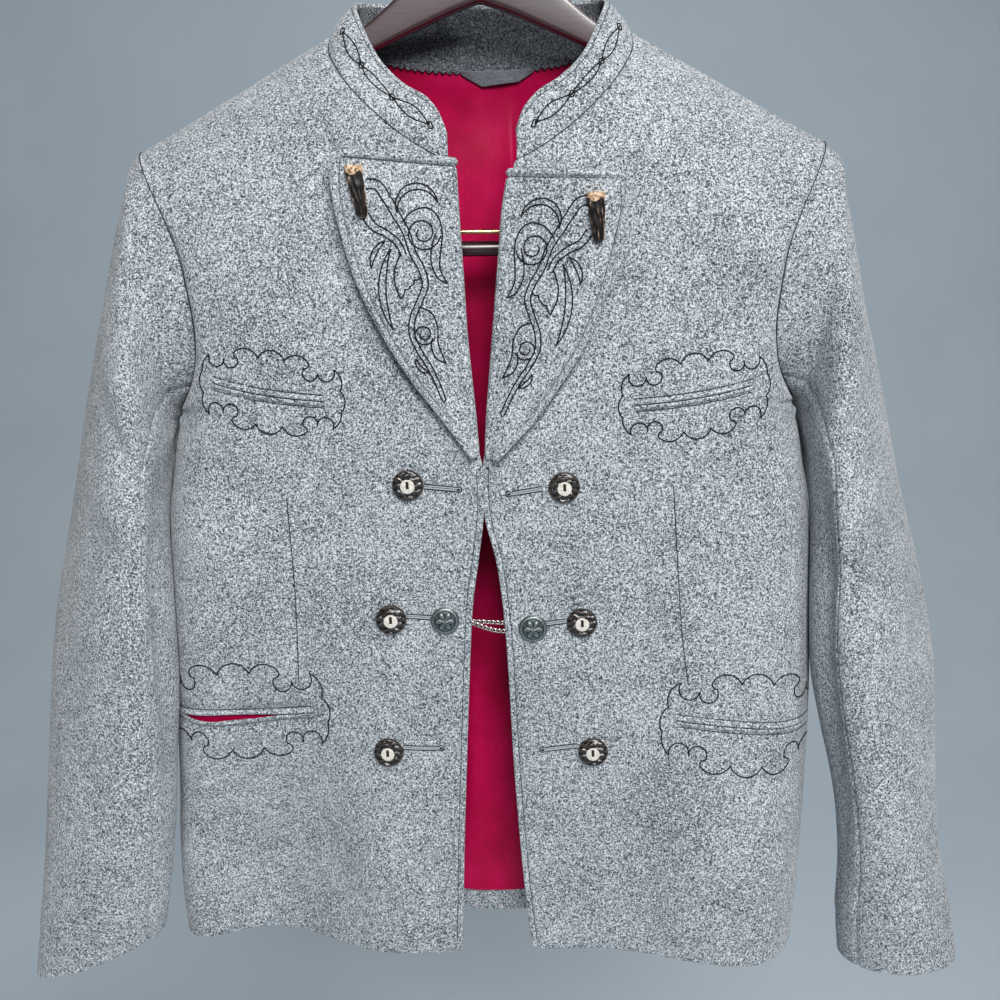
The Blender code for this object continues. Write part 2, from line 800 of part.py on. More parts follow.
label_skins = []
for depth in (LODEN + GAP + LINING + GAP, LODEN + GAP + LINING + GAP + LABEL_THICKNESS):
    upper = [Vector((x, cloth_y(BACK, x, LABEL_TOP_Z) - depth, LABEL_TOP_Z)) for x, _ in LABEL_CORNERS]
    lower = [Vector((x, cloth_y(BACK, x, z) - depth - GAP, z - GAP)) for x, z in LABEL_CORNERS]
    label_skins.append([upper, lower])
wall("neck_label", *label_skins, felt())


# --- Lapels ------------------------------------------------------------------------------------------
# The tops of the facings, turned back over the fronts from the roll line.


def panel_y(side, x, z):
    """Depth of a front's outer side at a place, read from the panel's own points."""
    grid = fronts[side][0]
    best, best_y = None, 0.0
    for first, second in zip(grid, grid[1:]):
        for j in range(len(first) - 1):
            corners = (first[j], first[j + 1], second[j + 1], second[j])
            for a, b, c in ((corners[0], corners[1], corners[2]), (corners[0], corners[2], corners[3])):
                area = (b.x - a.x) * (c.z - a.z) - (c.x - a.x) * (b.z - a.z)
                if abs(area) < 1e-9:
                    continue
                u = ((x - a.x) * (c.z - a.z) - (c.x - a.x) * (z - a.z)) / area
                v = ((b.x - a.x) * (z - a.z) - (x - a.x) * (b.z - a.z)) / area
                outside = max(-u, -v, u + v - 1)
                if best is None or outside < best:
                    best, best_y = outside, a.y + u * (b.y - a.y) + v * (c.y - a.y)
    return best_y


def lapel(side, word, table):
    outside, inside = [], []
    for row in table:
        out_line, in_line = [], []
        for k in range(LAPEL_COLUMNS + 1):
            share = k / LAPEL_COLUMNS
            x = row.roll_x + (row.edge_x - row.roll_x) * share
            z = row.roll_z + (row.edge_z - row.roll_z) * share
            lift = LAPEL_BELLY * math.sin(math.pi * share) + LAPEL_EDGE_LIFT * share + GAP
            under = panel_y(side, x, z) - lift
            in_line.append(Vector((x, under, z)))
            out_line.append(Vector((x, under - LODEN, z)))
        outside.append(out_line)
        inside.append(in_line)
    wall("lapel_" + word, outside, inside, loden())
    return outside


lapels = {LEFT: lapel(LEFT, "left", LAPEL_LEFT), RIGHT: lapel(RIGHT, "right", LAPEL_RIGHT)}


# --- Pockets -----------------------------------------------------------------------------------------
# Two narrow jets along each mouth, and the lining that shows where one gapes.


def pocket_line(pocket, share, offset):
    """Place on a pocket's mouth, moved up or down by an offset."""
    x = pocket.inner_x + (pocket.outer_x - pocket.inner_x) * share
    z = pocket.inner_z + (pocket.outer_z - pocket.inner_z) * share
    return x, z - pocket.sag * math.sin(math.pi * share) + offset


def laid_strip(name, pocket, low_edge, high_edge, rises, base, look, margin=0.0):
    """A strip on the front along a pocket, between two offsets, raised by its rows' rises."""
    side = LEFT if pocket.inner_x < 0 else RIGHT
    outside, inside = [], []
    for k in range(len(rises)):
        up = k / (len(rises) - 1)
        out_line, in_line = [], []
        for c in range(JET_COLUMNS + 1):
            share = margin + (1 - 2 * margin) * c / JET_COLUMNS
            offset = low_edge(share) * (1 - up) + high_edge(share) * up
            x, z = pocket_line(pocket, share, offset)
            surface = min(panel_y(side, x + near, z) for near in (-JET_REACH, 0, JET_REACH)) - base
            in_line.append(Vector((x, surface, z)))
            out_line.append(Vector((x, surface - rises[k], z)))
        outside.append(out_line)
        inside.append(in_line)
    wall(name, outside, inside, look)


JET_RISES = [0.7 * JET_RISE, JET_RISE, 0.7 * JET_RISE]
JET_STANDOFF = 0.6
for pocket in POCKETS:
    gape = pocket.gape

    def half_mouth(share, gape=gape):
        return max(0.3, gape / 2 * math.sin(math.pi * share))

    where, word = pocket.name.split("_")
    laid_strip(
        f"{where}_jet_upper_{word}", pocket,
        half_mouth, lambda share: half_mouth(share) + JET_HEIGHT, JET_RISES, JET_STANDOFF, loden(),
    )
    laid_strip(
        f"{where}_jet_lower_{word}", pocket,
        lambda share: -half_mouth(share) - JET_HEIGHT, lambda share: -half_mouth(share), JET_RISES,
        JET_STANDOFF, loden(),
    )
    if gape > GAP * 4:
        laid_strip(
            f"pocket_lining_{word}", pocket,
            lambda share: GAP - half_mouth(share), lambda share: half_mouth(share) - GAP,
            [0.5, 0.5], JET_STANDOFF, satin(), margin=0.16,
        )


# --- Buttons -----------------------------------------------------------------------------------------
# Six ridged horn buttons with a pale centre, and two domed metal ones that carry the chain.


def surface_frame(side, x, z, reach=9.0):
    """Point of the front's outer side and its outward direction, averaged under a button."""
    across = Vector((2 * reach, panel_y(side, x + reach, z) - panel_y(side, x - reach, z), 0))
    up = Vector((0, panel_y(side, x, z + reach) - panel_y(side, x, z - reach), 2 * reach))
    return Vector((x, panel_y(side, x, z), z)), across.cross(up).normalized() * -1


def turned(name, foot, axis, profile, look, sides=BUTTON_SIDES):
    """A turned solid: radius and height pairs about an axis."""
    axis = axis if axis.y < 0 else -axis
    first = axis.orthogonal().normalized()
    second = axis.cross(first)
    loops = []
    for radius, height in profile:
        loop = []
        for k in range(sides):
            angle = 2 * math.pi * k / sides
            spoke = first * math.cos(angle) + second * math.sin(angle)
            loop.append(foot + axis * height + spoke * radius)
        loops.append(loop)
    rings(name, loops, look)


ivory = material("ivory_coloured_horn", (0.72, 0.66, 0.52), 0.35)
pewter = material("antiqued_pewter", (0.16, 0.17, 0.16), 0.45, 0.9)
for number, button in enumerate(ANTLER_BUTTONS, 1):
    side = LEFT if button.x < 0 else RIGHT
    foot, outward = surface_frame(side, button.x, button.z)
    outward = outward if outward.y < 0 else -outward
    foot += outward * BUTTON_STANDOFF
    turned(f"antler_button_{number}", foot, outward, ANTLER_PROFILE, horn())
    foot += outward * (ANTLER_PROFILE[-1][1] + GAP)
    turned(f"button_centre_{number}", foot, outward, CENTRE_PROFILE, ivory, 12)
for word, button in zip(("left", "right"), METAL_BUTTONS):
    side = LEFT if button.x < 0 else RIGHT
    foot, outward = surface_frame(side, button.x, button.z)
    outward = outward if outward.y < 0 else -outward
    turned("metal_button_" + word, foot + outward * BUTTON_STANDOFF, outward, METAL_PROFILE, pewter)


# --- Chain -------------------------------------------------------------------------------------------
# Two strands of curb chain, held behind the fronts at the metal buttons.

for word, lift in (("upper", CHAIN_SPREAD / 2), ("lower", -CHAIN_SPREAD / 2)):
    route = []
    start, end = METAL_BUTTONS
    for k in range(CHAIN_POINTS):
        share = k / (CHAIN_POINTS - 1)
        x = start.x + (end.x - start.x) * share
        z = start.z + (end.z - start.z) * share + lift - CHAIN_SAG * math.sin(math.pi * share)
        ends = [panel_y(LEFT, start.x, start.z), panel_y(RIGHT, end.x, end.z)]
        y = ends[0] + (ends[1] - ends[0]) * share + LODEN + 2 * GAP + CHAIN_RADIUS
        route.append((x, y, z))
    wire("chain_" + word, route, CHAIN_RADIUS, steel())


# --- Horn toggles ------------------------------------------------------------------------------------
# A tapered piece of horn sewn down on each lapel, its thick end cut across.


def lapel_y(side, x, z):
    """Foremost depth of a lapel's outer side near a place."""
    points = [point for line in lapels[side] for point in line]
    points.sort(key=lambda point: (point.x - x) ** 2 + (point.z - z) ** 2)
    weights = [1 / (1 + (p.x - x) ** 2 + (p.z - z) ** 2) for p in points[:4]]
    return sum(w * p.y for w, p in zip(weights, points)) / sum(weights)


for toggle in TOGGLES:
    loops = []
    for share, radius in TOGGLE_STATIONS:
        x = toggle.top_x + (toggle.low_x - toggle.top_x) * share
        z = toggle.top_z + (toggle.low_z - toggle.top_z) * share
        y = lapel_y(toggle.side, x, z) - TOGGLE_STANDOFF - radius * TOGGLE_FLATNESS
        loop = []
        for k in range(TOGGLE_SIDES):
            angle = 2 * math.pi * k / TOGGLE_SIDES
            ahead = radius * TOGGLE_FLATNESS * math.sin(angle)
            loop.append(Vector((x + radius * math.cos(angle), y + ahead, z)))
        loops.append(loop)
    rings("horn_toggle_" + ("left" if toggle.side == LEFT else "right"), loops, horn())


# --- Hanger ------------------------------------------------------------------------------------------
# Stained wooden arms under the shoulders, a trouser bar below them, and the hook.


def arm_section(x):
    """Eight-sided section of the hanger at a distance from its middle."""
    top, low = read(ARMS, "x", "top", abs(x)), read(ARMS, "x", "low", abs(x))
    outline = [(-0.2, 0), (-0.6, -3.5), (-1, -10), (-0.8, low - top)]
    outline += [(-across, down) for across, down in reversed(outline)]
    return [Vector((x, ARM_HALF_DEPTH * across, top + down)) for across, down in outline]


ARM_PLACES = [-arm.x for arm in reversed(ARMS[1:])] + [arm.x for arm in ARMS]
rings("hanger_arms", [arm_section(x) for x in ARM_PLACES], wood())

bar_loops = []
for x in (-BAR_HALF_LENGTH, -BAR_HALF_LENGTH + 1.5, BAR_HALF_LENGTH - 1.5, BAR_HALF_LENGTH):
    radius = BAR_RADIUS - (1.5 if abs(x) == BAR_HALF_LENGTH else 0)
    bar_loops.append([
        Vector((x, radius * math.cos(math.pi * k / 7), BAR_Z + radius * math.sin(math.pi * k / 7)))
        for k in range(14)
    ])
rings("hanger_bar", bar_loops, wood())

gold = material("gold_coloured_wire", (0.8, 0.62, 0.35), 0.25, 1.0)


def arm_underside(x):
    """Lowest wood over a wire that ends at this distance from the middle."""
    return min(point.z for point in arm_section(abs(x) + ROD_RADIUS)) - GAP


for word, side in (("left", LEFT), ("right", RIGHT)):
    x = side * BAR_WIRE_X
    top, low = arm_underside(x), BAR_Z + BAR_RADIUS + GAP
    wire("bar_wire_" + word, [(x, 0, top), (x, 0, (top + low) / 2), (x, 0, low)], ROD_RADIUS, gold)

for word, side in (("left", LEFT), ("right", RIGHT)):
    x = side * ROD_LEG_X
    leg = [
        (x, -2.5, arm_underside(x) - GAP),
        (x, ROD_Y * 0.8, arm_underside(x) - 16),
        (x, ROD_Y, ROD_Z + ROD_RADIUS + GAP),
    ]
    wire("rod_leg_" + word, leg, ROD_RADIUS, gold)
rod_ends = [(-ROD_HALF_LENGTH, ROD_Y, ROD_Z), (0, ROD_Y, ROD_Z), (ROD_HALF_LENGTH, ROD_Y, ROD_Z)]
wire("clamp_rod", rod_ends, ROD_RADIUS, gold)

HOOK_CENTRE_Z = -HOOK_INNER_RADIUS
HOOK_RADIUS = HOOK_INNER_RADIUS + HOOK_WIRE_RADIUS
HOOK_START, HOOK_END, HOOK_STEPS = -62.0, 205.0, 22
hook_route = [(0.0, 0.0, ARMS[0].top + GAP), (0.0, 0.0, -56.0), (2.2, 0.0, -49.0)]
for k in range(HOOK_STEPS + 1):
    angle = math.radians(HOOK_START + (HOOK_END - HOOK_START) * k / HOOK_STEPS)
    hook_route.append((HOOK_RADIUS * math.cos(angle), 0.0, HOOK_CENTRE_Z + HOOK_RADIUS * math.sin(angle)))
wire("hanger_hook", hook_route, HOOK_WIRE_RADIUS, steel())
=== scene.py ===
import math
from collections import namedtuple
from functools import partial

import bmesh
import bpy
import numpy as np
from mathutils import Matrix, Vector
from mathutils.bvhtree import BVHTree


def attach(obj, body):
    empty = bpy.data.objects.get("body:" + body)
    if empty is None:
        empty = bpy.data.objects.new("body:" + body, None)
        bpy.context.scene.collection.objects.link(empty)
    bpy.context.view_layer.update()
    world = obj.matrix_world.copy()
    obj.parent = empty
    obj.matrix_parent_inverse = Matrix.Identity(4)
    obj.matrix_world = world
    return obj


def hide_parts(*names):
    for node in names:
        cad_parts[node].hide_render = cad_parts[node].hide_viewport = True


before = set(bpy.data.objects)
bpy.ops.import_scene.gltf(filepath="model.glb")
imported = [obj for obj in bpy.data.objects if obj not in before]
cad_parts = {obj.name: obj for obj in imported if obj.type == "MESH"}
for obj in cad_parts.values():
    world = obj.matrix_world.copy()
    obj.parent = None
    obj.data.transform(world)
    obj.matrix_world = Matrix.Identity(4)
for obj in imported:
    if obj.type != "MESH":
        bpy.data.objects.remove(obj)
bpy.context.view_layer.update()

# --- Studio ------------------------------------------------------------------------------------------
# A plain grey-blue sweep of floor and wall, with a wide soft light high in front, like an overcast sky.
# The jacket hangs at head height, and the eye is level with its lapels.

EYE = (0.0079, -0.800, -0.271)
PITCH = -13.0
ROLL = -0.94
LENS_MM = 39.6
SENSOR_MM = 36.0
FLOOR_Z = -1.72
SWEEP_HALF_WIDTH = 12.0
SWEEP_FRONT_Y = -9.0
SWEEP_BACK_Y = 3.4
SWEEP_RADIUS = 1.6
SWEEP_STEPS = 24
SWEEP_TOP_Z = 7.0
WORLD_STRENGTH = 0.025
LAMPS_AIM = (0, 0, -0.42)


def linear(colour):
    """sRGB hex to linear RGBA."""
    channels = [int(colour[i:i + 2], 16) / 255 for i in (1, 3, 5)]
    curve = [c / 12.92 if c <= 0.04045 else ((c + 0.055) / 1.055) ** 2.4 for c in channels]
    return (*curve, 1.0)


def add(tree, kind, inputs=(), stops=(), **settings):
    """Adds a node, sets its properties, and gives each named socket a value or a link. Stops are the
    (place, hex) pairs of a colour ramp."""
    made = tree.nodes.new(kind)
    for name, value in settings.items():
        setattr(made, name, value)
    for socket, value in dict(inputs).items():
        if isinstance(value, bpy.types.NodeSocket):
            tree.links.new(value, made.inputs[socket])
        elif isinstance(value, str):
            made.inputs[socket].default_value = linear(value)
        else:
            made.inputs[socket].default_value = value
    if stops:
        elements = made.color_ramp.elements
        elements[0].position, elements[0].color = stops[0][0], linear(stops[0][1])
        elements[1].position, elements[1].color = stops[-1][0], linear(stops[-1][1])
        for place, colour in stops[1:-1]:
            elements.new(place).color = linear(colour)
    return made


def surface(name, sockets):
    """A new material with a Principled shader whose named sockets hold these values."""
    look = bpy.data.materials.new(name)
    look.use_nodes = True
    shader = look.node_tree.nodes["Principled BSDF"]
    for socket, value in sockets.items():
        shader.inputs[socket].default_value = linear(value) if isinstance(value, str) else value
    return look, look.node_tree, shader


def grained(name, sockets, grain, stops, stretch=None, bump=None, wear=None):
    """A material coloured by a noise, whose grain names the noise's sockets, drawn out by stretch. bump
    is (metres, strength). wear is (hollow, proud, its share, the grain's share): the noise then joins
    what stands proud of the surface round it."""
    look, tree, shader = surface(name, sockets)
    place = add(tree, "ShaderNodeTexCoord").outputs["Object"]
    if stretch:
        place = add(tree, "ShaderNodeMapping", {"Vector": place, "Scale": stretch}).outputs[0]
    noise = add(tree, "ShaderNodeTexNoise", {"Vector": place, **grain}).outputs["Fac"]
    level = noise
    if wear:
        hollow, proud, wear_share, grain_share = wear
        point = add(tree, "ShaderNodeNewGeometry").outputs["Pointiness"]
        worn = add(tree, "ShaderNodeMapRange", {"Value": point, "From Min": hollow, "From Max": proud})
        part = add(tree, "ShaderNodeMath", {0: worn.outputs["Result"], 1: wear_share}, operation="MULTIPLY")
        joined = {0: noise, 1: grain_share, 2: part.outputs[0]}
        level = add(tree, "ShaderNodeMath", joined, operation="MULTIPLY_ADD").outputs[0]
    tone = add(tree, "ShaderNodeValToRGB", {"Fac": level}, stops)
    tree.links.new(tone.outputs["Color"], shader.inputs["Base Color"])
    if bump:
        relief = add(tree, "ShaderNodeBump", {"Height": noise, "Distance": bump[0], "Strength": bump[1]})
        tree.links.new(relief.outputs["Normal"], shader.inputs["Normal"])
    return look


camera = bpy.data.objects.new("camera", bpy.data.cameras.new("camera"))
camera.data.lens = LENS_MM
camera.data.sensor_width = SENSOR_MM
aim = Matrix.Rotation(math.radians(90 + PITCH), 4, "X") @ Matrix.Rotation(math.radians(ROLL), 4, "Z")
camera.matrix_world = Matrix.Translation(EYE) @ aim
bpy.context.scene.collection.objects.link(camera)
bpy.context.scene.camera = camera

sweep = [(SWEEP_FRONT_Y, FLOOR_Z)]
for angle in np.radians(np.linspace(0, 90, SWEEP_STEPS)):
    back, up = SWEEP_RADIUS * (1 - math.sin(angle)), SWEEP_RADIUS * (1 - math.cos(angle))
    sweep.append((SWEEP_BACK_Y - back, FLOOR_Z + up))
sweep += [(SWEEP_BACK_Y, SWEEP_TOP_Z)]
floor_mesh = bpy.data.meshes.new("floor")
floor_mesh.from_pydata(
    [(x, y, z) for y, z in sweep for x in (-SWEEP_HALF_WIDTH, SWEEP_HALF_WIDTH)], [],
    [(2 * i, 2 * i + 1, 2 * i + 3, 2 * i + 2) for i in range(len(sweep) - 1)],
)
floor_mesh.shade_smooth()
floor = bpy.data.objects.new("floor", floor_mesh)
bpy.context.scene.collection.objects.link(floor)
plaster = grained(
    "matt_pale_plaster", {"Roughness": 0.9}, {"Scale": 3.0, "Detail": 3.0},
    [(0.3, "#cfdde8"), (0.7, "#d5e2eb")],
)
floor_mesh.materials.append(plaster)

world = bpy.data.worlds.new("studio")
world.use_nodes = True
world.node_tree.nodes["Background"].inputs["Color"].default_value = linear("#dde3e8")
world.node_tree.nodes["Background"].inputs["Strength"].default_value = WORLD_STRENGTH
bpy.context.scene.world = world
bpy.context.scene.view_settings.view_transform = "Standard"

Lamp = namedtuple("Lamp", "name x y z size watts")
LAMPS = [
    Lamp("sky", 0.4, -2.9, 1.5, 1.2, 98),
    Lamp("key", 1.1, -1.5, 2.0, 0.4, 32),
    Lamp("front", 0.0, -3.1, 0.3, 1.2, 4),
    Lamp("back", 0.5, 1.6, 2.2, 1.6, 22),
]
for lamp in LAMPS:
    made = bpy.data.objects.new(lamp.name, bpy.data.lights.new(lamp.name, "AREA"))
    made.data.size = lamp.size
    made.data.energy = lamp.watts
    made.location = (lamp.x, lamp.y, lamp.z)
    made.rotation_mode = "QUATERNION"
    made.rotation_quaternion = (Vector(LAMPS_AIM) - made.location).to_track_quat("-Z", "Y")
    bpy.context.scene.collection.objects.link(made)


# --- Fronts ------------------------------------------------------------------------------------------
# Two loden panels from the shoulder and armhole to the hem, open down the middle. Loden is wool woven
# loosely, shrunk and brushed, so it's thick and soft and folds in broad waves. Lengths are millimetres.

MM = 0.001
LODEN = 2.2
LEFT, RIGHT = -1, 1
FRONT, BACK = -1, 1
WORDS = {LEFT: "left", RIGHT: "right"}
SEAM_GAP = 0.15

NECK_HALF_WIDTH = 103.0
NECK_RIDGE_Z = -131.0
SHOULDER_SLOPE = 0.549
SHOULDER_HALF_WIDTH = 236.0
SHOULDER_ROUNDING = 120.0
ARMHOLE_TOP_Z = NECK_RIDGE_Z - SHOULDER_SLOPE * (SHOULDER_HALF_WIDTH - NECK_HALF_WIDTH)
ARMHOLE_BOTTOM_Z = -382.0
ARMHOLE_DEPTH = {FRONT: 50.0, BACK: 42.0}
ARMHOLE_BOTTOM_Y = 8.0
ARMHOLE_STEPS = 10
BREAK_Z = -415.0
HEM_Z = -799.0
SIDE_ROUNDING = 60.0

Depth = namedtuple("Depth", "z front back")
DEPTHS = [
    Depth(-120, -55, 47),
    Depth(-217, -55, 48),
    Depth(-300, -58, 49),
    Depth(-430, -57, 46),
    Depth(-600, -53, 36),
    Depth(-810, -50, 22),
]
Side = namedtuple("Side", "z left_x right_x y")
SIDE_SEAM = [
    Side(-382, 222, 222, 8),
    Side(-405, 228, 228, 10),
    Side(-430, 232, 232, 12),
    Side(-465, 238, 238, 14),
    Side(-505, 241, 241, 15),
    Side(-545, 243, 243, 15),
    Side(-585, 245, 244, 14),
    Side(-630, 246, 244, 12),
    Side(-675, 248, 243, 10),
    Side(-718, 251, 241, 8),
    Side(-760, 252, 239, 6),
    Side(HEM_Z, 251, 236, 5),
]
Armhole = namedtuple("Armhole", "z front_x back_x")
ARMHOLE = [
    Armhole(ARMHOLE_TOP_Z, 236, 236),
    Armhole(-212, 232, 234.5),
    Armhole(-230, 223, 230),
    Armhole(-255, 211.5, 225),
    Armhole(-276, 204.5, 222),
    Armhole(-300, 201, 220),
    Armhole(-323, 199.5, 219),
    Armhole(-345, 202, 219),
    Armhole(-362, 208, 220),
    Armhole(-375, 216, 221.5),
    Armhole(ARMHOLE_BOTTOM_Z, 222, 222),
]
Neck = namedtuple("Neck", "x z")
FRONT_NECK = [
    Neck(NECK_HALF_WIDTH, NECK_RIDGE_Z),
    Neck(101.5, -145),
    Neck(87, -167),
    Neck(65, -189),
    Neck(44, -205),
    Neck(23, -217),
]
Edge = namedtuple("Edge", "z left_x right_x")
FRONT_EDGE = [
    Edge(-226, -16.5, 16.0),
    Edge(-254, -15.3, 11.0),
    Edge(-283, -14.0, 8.0),
    Edge(-325, -12.0, 4.4),
    Edge(-372, -8.2, 0.2),
    Edge(BREAK_Z, -4.7, -2.9),
    Edge(-453, -4.5, -2.6),
    Edge(-486, -8.6, 5.0),
    Edge(-516, -13.0, 9.0),
    Edge(-546, -15.3, 11.4),
    Edge(-592, -17.9, 13.6),
    Edge(-641, -20.4, 15.6),
    Edge(-698, -23.2, 19.0),
    Edge(-758, -25.6, 23.7),
    Edge(-800, -27.2, 28.2),
]
Fold = namedtuple("Fold", "face hem_x top_x top_z half_width depth")
FOLDS = [
    Fold(FRONT, -178, -165, -520, 95, 35),
    Fold(FRONT, 187, 160, -470, 120, -27),
    Fold(FRONT, -62, -70, -480, 60, -3),
    Fold(BACK, -120, -95, -330, 85, 9),
    Fold(BACK, 130, 100, -360, 80, 7),
    Fold(BACK, 10, 0, -400, 60, -5),
]

# Creases: soft troughs (depth below zero) and ridges between two places, strongest in the middle
Crease = namedtuple("Crease", "face x0 z0 x1 z1 width depth")
CREASES = [
    Crease(FRONT, -198, -300, -150, -352, 15, -1.6),
    Crease(FRONT, -208, -398, -118, -455, 19, -2.2),
    Crease(FRONT, -214, -452, -150, -520, 21, 1.9),
    Crease(FRONT, -152, -250, -118, -330, 20, -1.2),
    Crease(FRONT, -100, -430, -62, -520, 18, -1.4),
    Crease(FRONT, -128, -495, -125, -600, 11, -1.7),
    Crease(FRONT, -215, -650, -172, -770, 24, -2.4),
    Crease(FRONT, -92, -660, -62, -790, 24, 1.8),
    Crease(FRONT, -128, -650, -105, -799, 19, -2.6),
    Crease(FRONT, -45, -560, -40, -700, 16, 1.3),
    Crease(FRONT, 198, -300, 150, -345, 14, -1.5),
    Crease(FRONT, 212, -400, 140, -450, 19, -2.2),
    Crease(FRONT, 214, -455, 150, -505, 20, 1.7),
    Crease(FRONT, 140, -240, 112, -330, 20, -1.3),
    Crease(FRONT, 92, -430, 60, -505, 18, -1.4),
    Crease(FRONT, 124, -498, 130, -600, 11, -1.7),
    Crease(FRONT, 218, -640, 165, -740, 25, -2.2),
    Crease(FRONT, 90, -650, 72, -780, 22, 1.7),
    Crease(FRONT, 120, -650, 118, -799, 18, -2.0),
    Crease(FRONT, 44, -560, 50, -690, 16, 1.0),
    Crease(BACK, -205, -330, -120, -430, 22, -2.2),
    Crease(BACK, 200, -325, 130, -440, 24, -2.5),
    Crease(BACK, -60, -180, -30, -300, 26, -1.6),
    Crease(BACK, 62, -190, 20, -310, 24, -1.4),
    Crease(BACK, -150, -500, -130, -700, 24, 2.2),
    Crease(BACK, 90, -480, 120, -720, 26, -2.4),
    Crease(BACK, -40, -520, -60, -760, 24, -2.0),
    Crease(BACK, 180, -520, 190, -700, 22, 2.0),
]
CREASE_TAPER = 22.0
CREASE_BOW = 0.08
CREASE_FADE = 20.0


def smoothstep(value):
    value = np.clip(value, 0.0, 1.0)
    return value * value * (3 - 2 * value)


def hump(off, width):
    """A bell curve: 1 where off is 0, and all but gone at twice the width."""
    return np.exp(-((off / width) ** 2))


def through(keys, values, at):
    """Values on a smooth curve through a table's rows, which run along the first axis."""
    keys, values = np.asarray(keys, float), np.asarray(values, float)
    last = len(keys) - 1
    low, high = np.maximum(0, np.arange(last + 1) - 1), np.minimum(last, np.arange(last + 1) + 1)
    more = (...,) + (None,) * (values.ndim - 1)
    rise = (values[high] - values[low]) / (keys[high] - keys[low])[more]
    at = np.clip(np.asarray(at, float), keys[0], keys[-1])
    i = np.clip(np.searchsorted(keys, at, side="right") - 1, 0, last - 1)
    span = keys[i + 1] - keys[i]
    t = ((at - keys[i]) / span)[more]
    span = span[more]
    return (
        values[i] * (2 * t**3 - 3 * t**2 + 1)
        + rise[i] * span * (t**3 - 2 * t**2 + t)
        + values[i + 1] * (3 * t**2 - 2 * t**3)
        + rise[i + 1] * span * (t**3 - t**2)
    )


def read(table, column, z):
    """A table's column at heights z."""
    rows = sorted(table, key=lambda row: row.z)
    return through([row.z for row in rows], [getattr(row, column) for row in rows], z)


def lookup(pairs, at):
    """Straight lines through a table of (place, value) pairs."""
    return np.interp(at, *np.array(pairs, float).T)


def ridge_z(x):
    return NECK_RIDGE_Z - SHOULDER_SLOPE * (np.abs(x) - NECK_HALF_WIDTH)


def cloth_y(face, x, z):
    """Depth of the cloth's outer side: flat below, rounded up to the shoulder line, waved at the hem."""
    x, z = np.asarray(x, float), np.asarray(z, float)
    flat = read(DEPTHS, "front" if face == FRONT else "back", z)
    drop = np.clip((ridge_z(x) - z) / SHOULDER_ROUNDING, 0, 1)
    y = flat * (1 - (1 - drop) ** 1.8) ** (1 / 1.5)
    for fold in FOLDS:
        if fold.face != face:
            continue
        down = np.clip((fold.top_z - z) / (fold.top_z - HEM_Z), 0, 1.1)
        middle = fold.top_x + (fold.hem_x - fold.top_x) * down
        across = np.clip(np.abs(x - middle) / fold.half_width, 0, 1)
        y = y + fold.depth * smoothstep(down) * (1 + np.cos(np.pi * across)) / 2
    return y


def creased(table, face, x, z):
    """How far the creases push the cloth outwards, at places seen from the front or the back."""
    total = np.zeros(np.broadcast(x, z).shape)
    for crease in table:
        if crease.face != face:
            continue
        ax, az = crease.x1 - crease.x0, crease.z1 - crease.z0
        length = math.hypot(ax, az)
        along = ((x - crease.x0) * ax + (z - crease.z0) * az) / length**2
        swell = np.sin(np.pi * np.clip(along, 0, 1))
        off = ((x - crease.x0) * az - (z - crease.z0) * ax) / length - CREASE_BOW * length * swell
        beyond = np.maximum(0, np.maximum(-along, along - 1)) * length
        reach = np.exp(-((off / crease.width) ** 2) - (beyond / CREASE_TAPER) ** 2)
        total += crease.depth * (0.35 + 0.65 * swell) * reach
    return total


def armhole(side, face, step):
    """Armhole seam from the shoulder point (step 0) to the underarm (step ARMHOLE_STEPS)."""
    angle = np.pi * np.asarray(step, float) / ARMHOLE_STEPS
    middle = (ARMHOLE_TOP_Z + ARMHOLE_BOTTOM_Z) / 2
    z = middle + (ARMHOLE_TOP_Z - middle) * np.cos(angle)
    y = face * np.maximum(SEAM_GAP, ARMHOLE_DEPTH[face] * np.clip(np.sin(angle), 0, 1) ** 0.85)
    x = side * read(ARMHOLE, "front_x" if face == FRONT else "back_x", z)
    return x, y + ARMHOLE_BOTTOM_Y * (1 - np.cos(angle)) / 2, z


LAST_ROW = ARMHOLE_STEPS + len(SIDE_SEAM) - 1


def outer_border(side, face, row):
    """Armhole, then side seam, at rows from 0 at the shoulder to LAST_ROW at the hem."""
    ax, ay, az = armhole(side, face, np.clip(row, 0, ARMHOLE_STEPS))
    z = np.interp(row - ARMHOLE_STEPS, range(len(SIDE_SEAM)), [seam.z for seam in SIDE_SEAM])
    x = side * read(SIDE_SEAM, WORDS[side] + "_x", z)
    y = read(SIDE_SEAM, "y", z) + face * SEAM_GAP
    below = row > ARMHOLE_STEPS
    return np.where(below, x, ax), np.where(below, y, ay), np.where(below, z, az)


def front_neck(row):
    """Neck seam of a front, from the shoulder (row 0) to its front end."""
    keys = range(len(FRONT_NECK))
    x = through(keys, [seam.x for seam in FRONT_NECK], row)
    return x, through(keys, [seam.z for seam in FRONT_NECK], row)


def inner_border(side, row):
    """Neck seam, then roll line and cut edge, of a front."""
    count = len(FRONT_NECK)
    share = np.clip((row - count) / (LAST_ROW - count), 0, 1) * (len(FRONT_EDGE) - 1)
    z = np.interp(share, range(len(FRONT_EDGE)), [edge.z for edge in FRONT_EDGE])
    x = read(FRONT_EDGE, WORDS[side] + "_x", z)
    neck_x, neck_z = front_neck(np.clip(row, 0, count - 1))
    turn = np.clip(row - (count - 1), 0, 1)
    neck_x = side * neck_x * (1 - turn) + x * turn
    neck_z = neck_z * (1 - turn) + z * turn
    above = row < count
    return np.where(above, neck_x, x), np.where(above, neck_z, z)


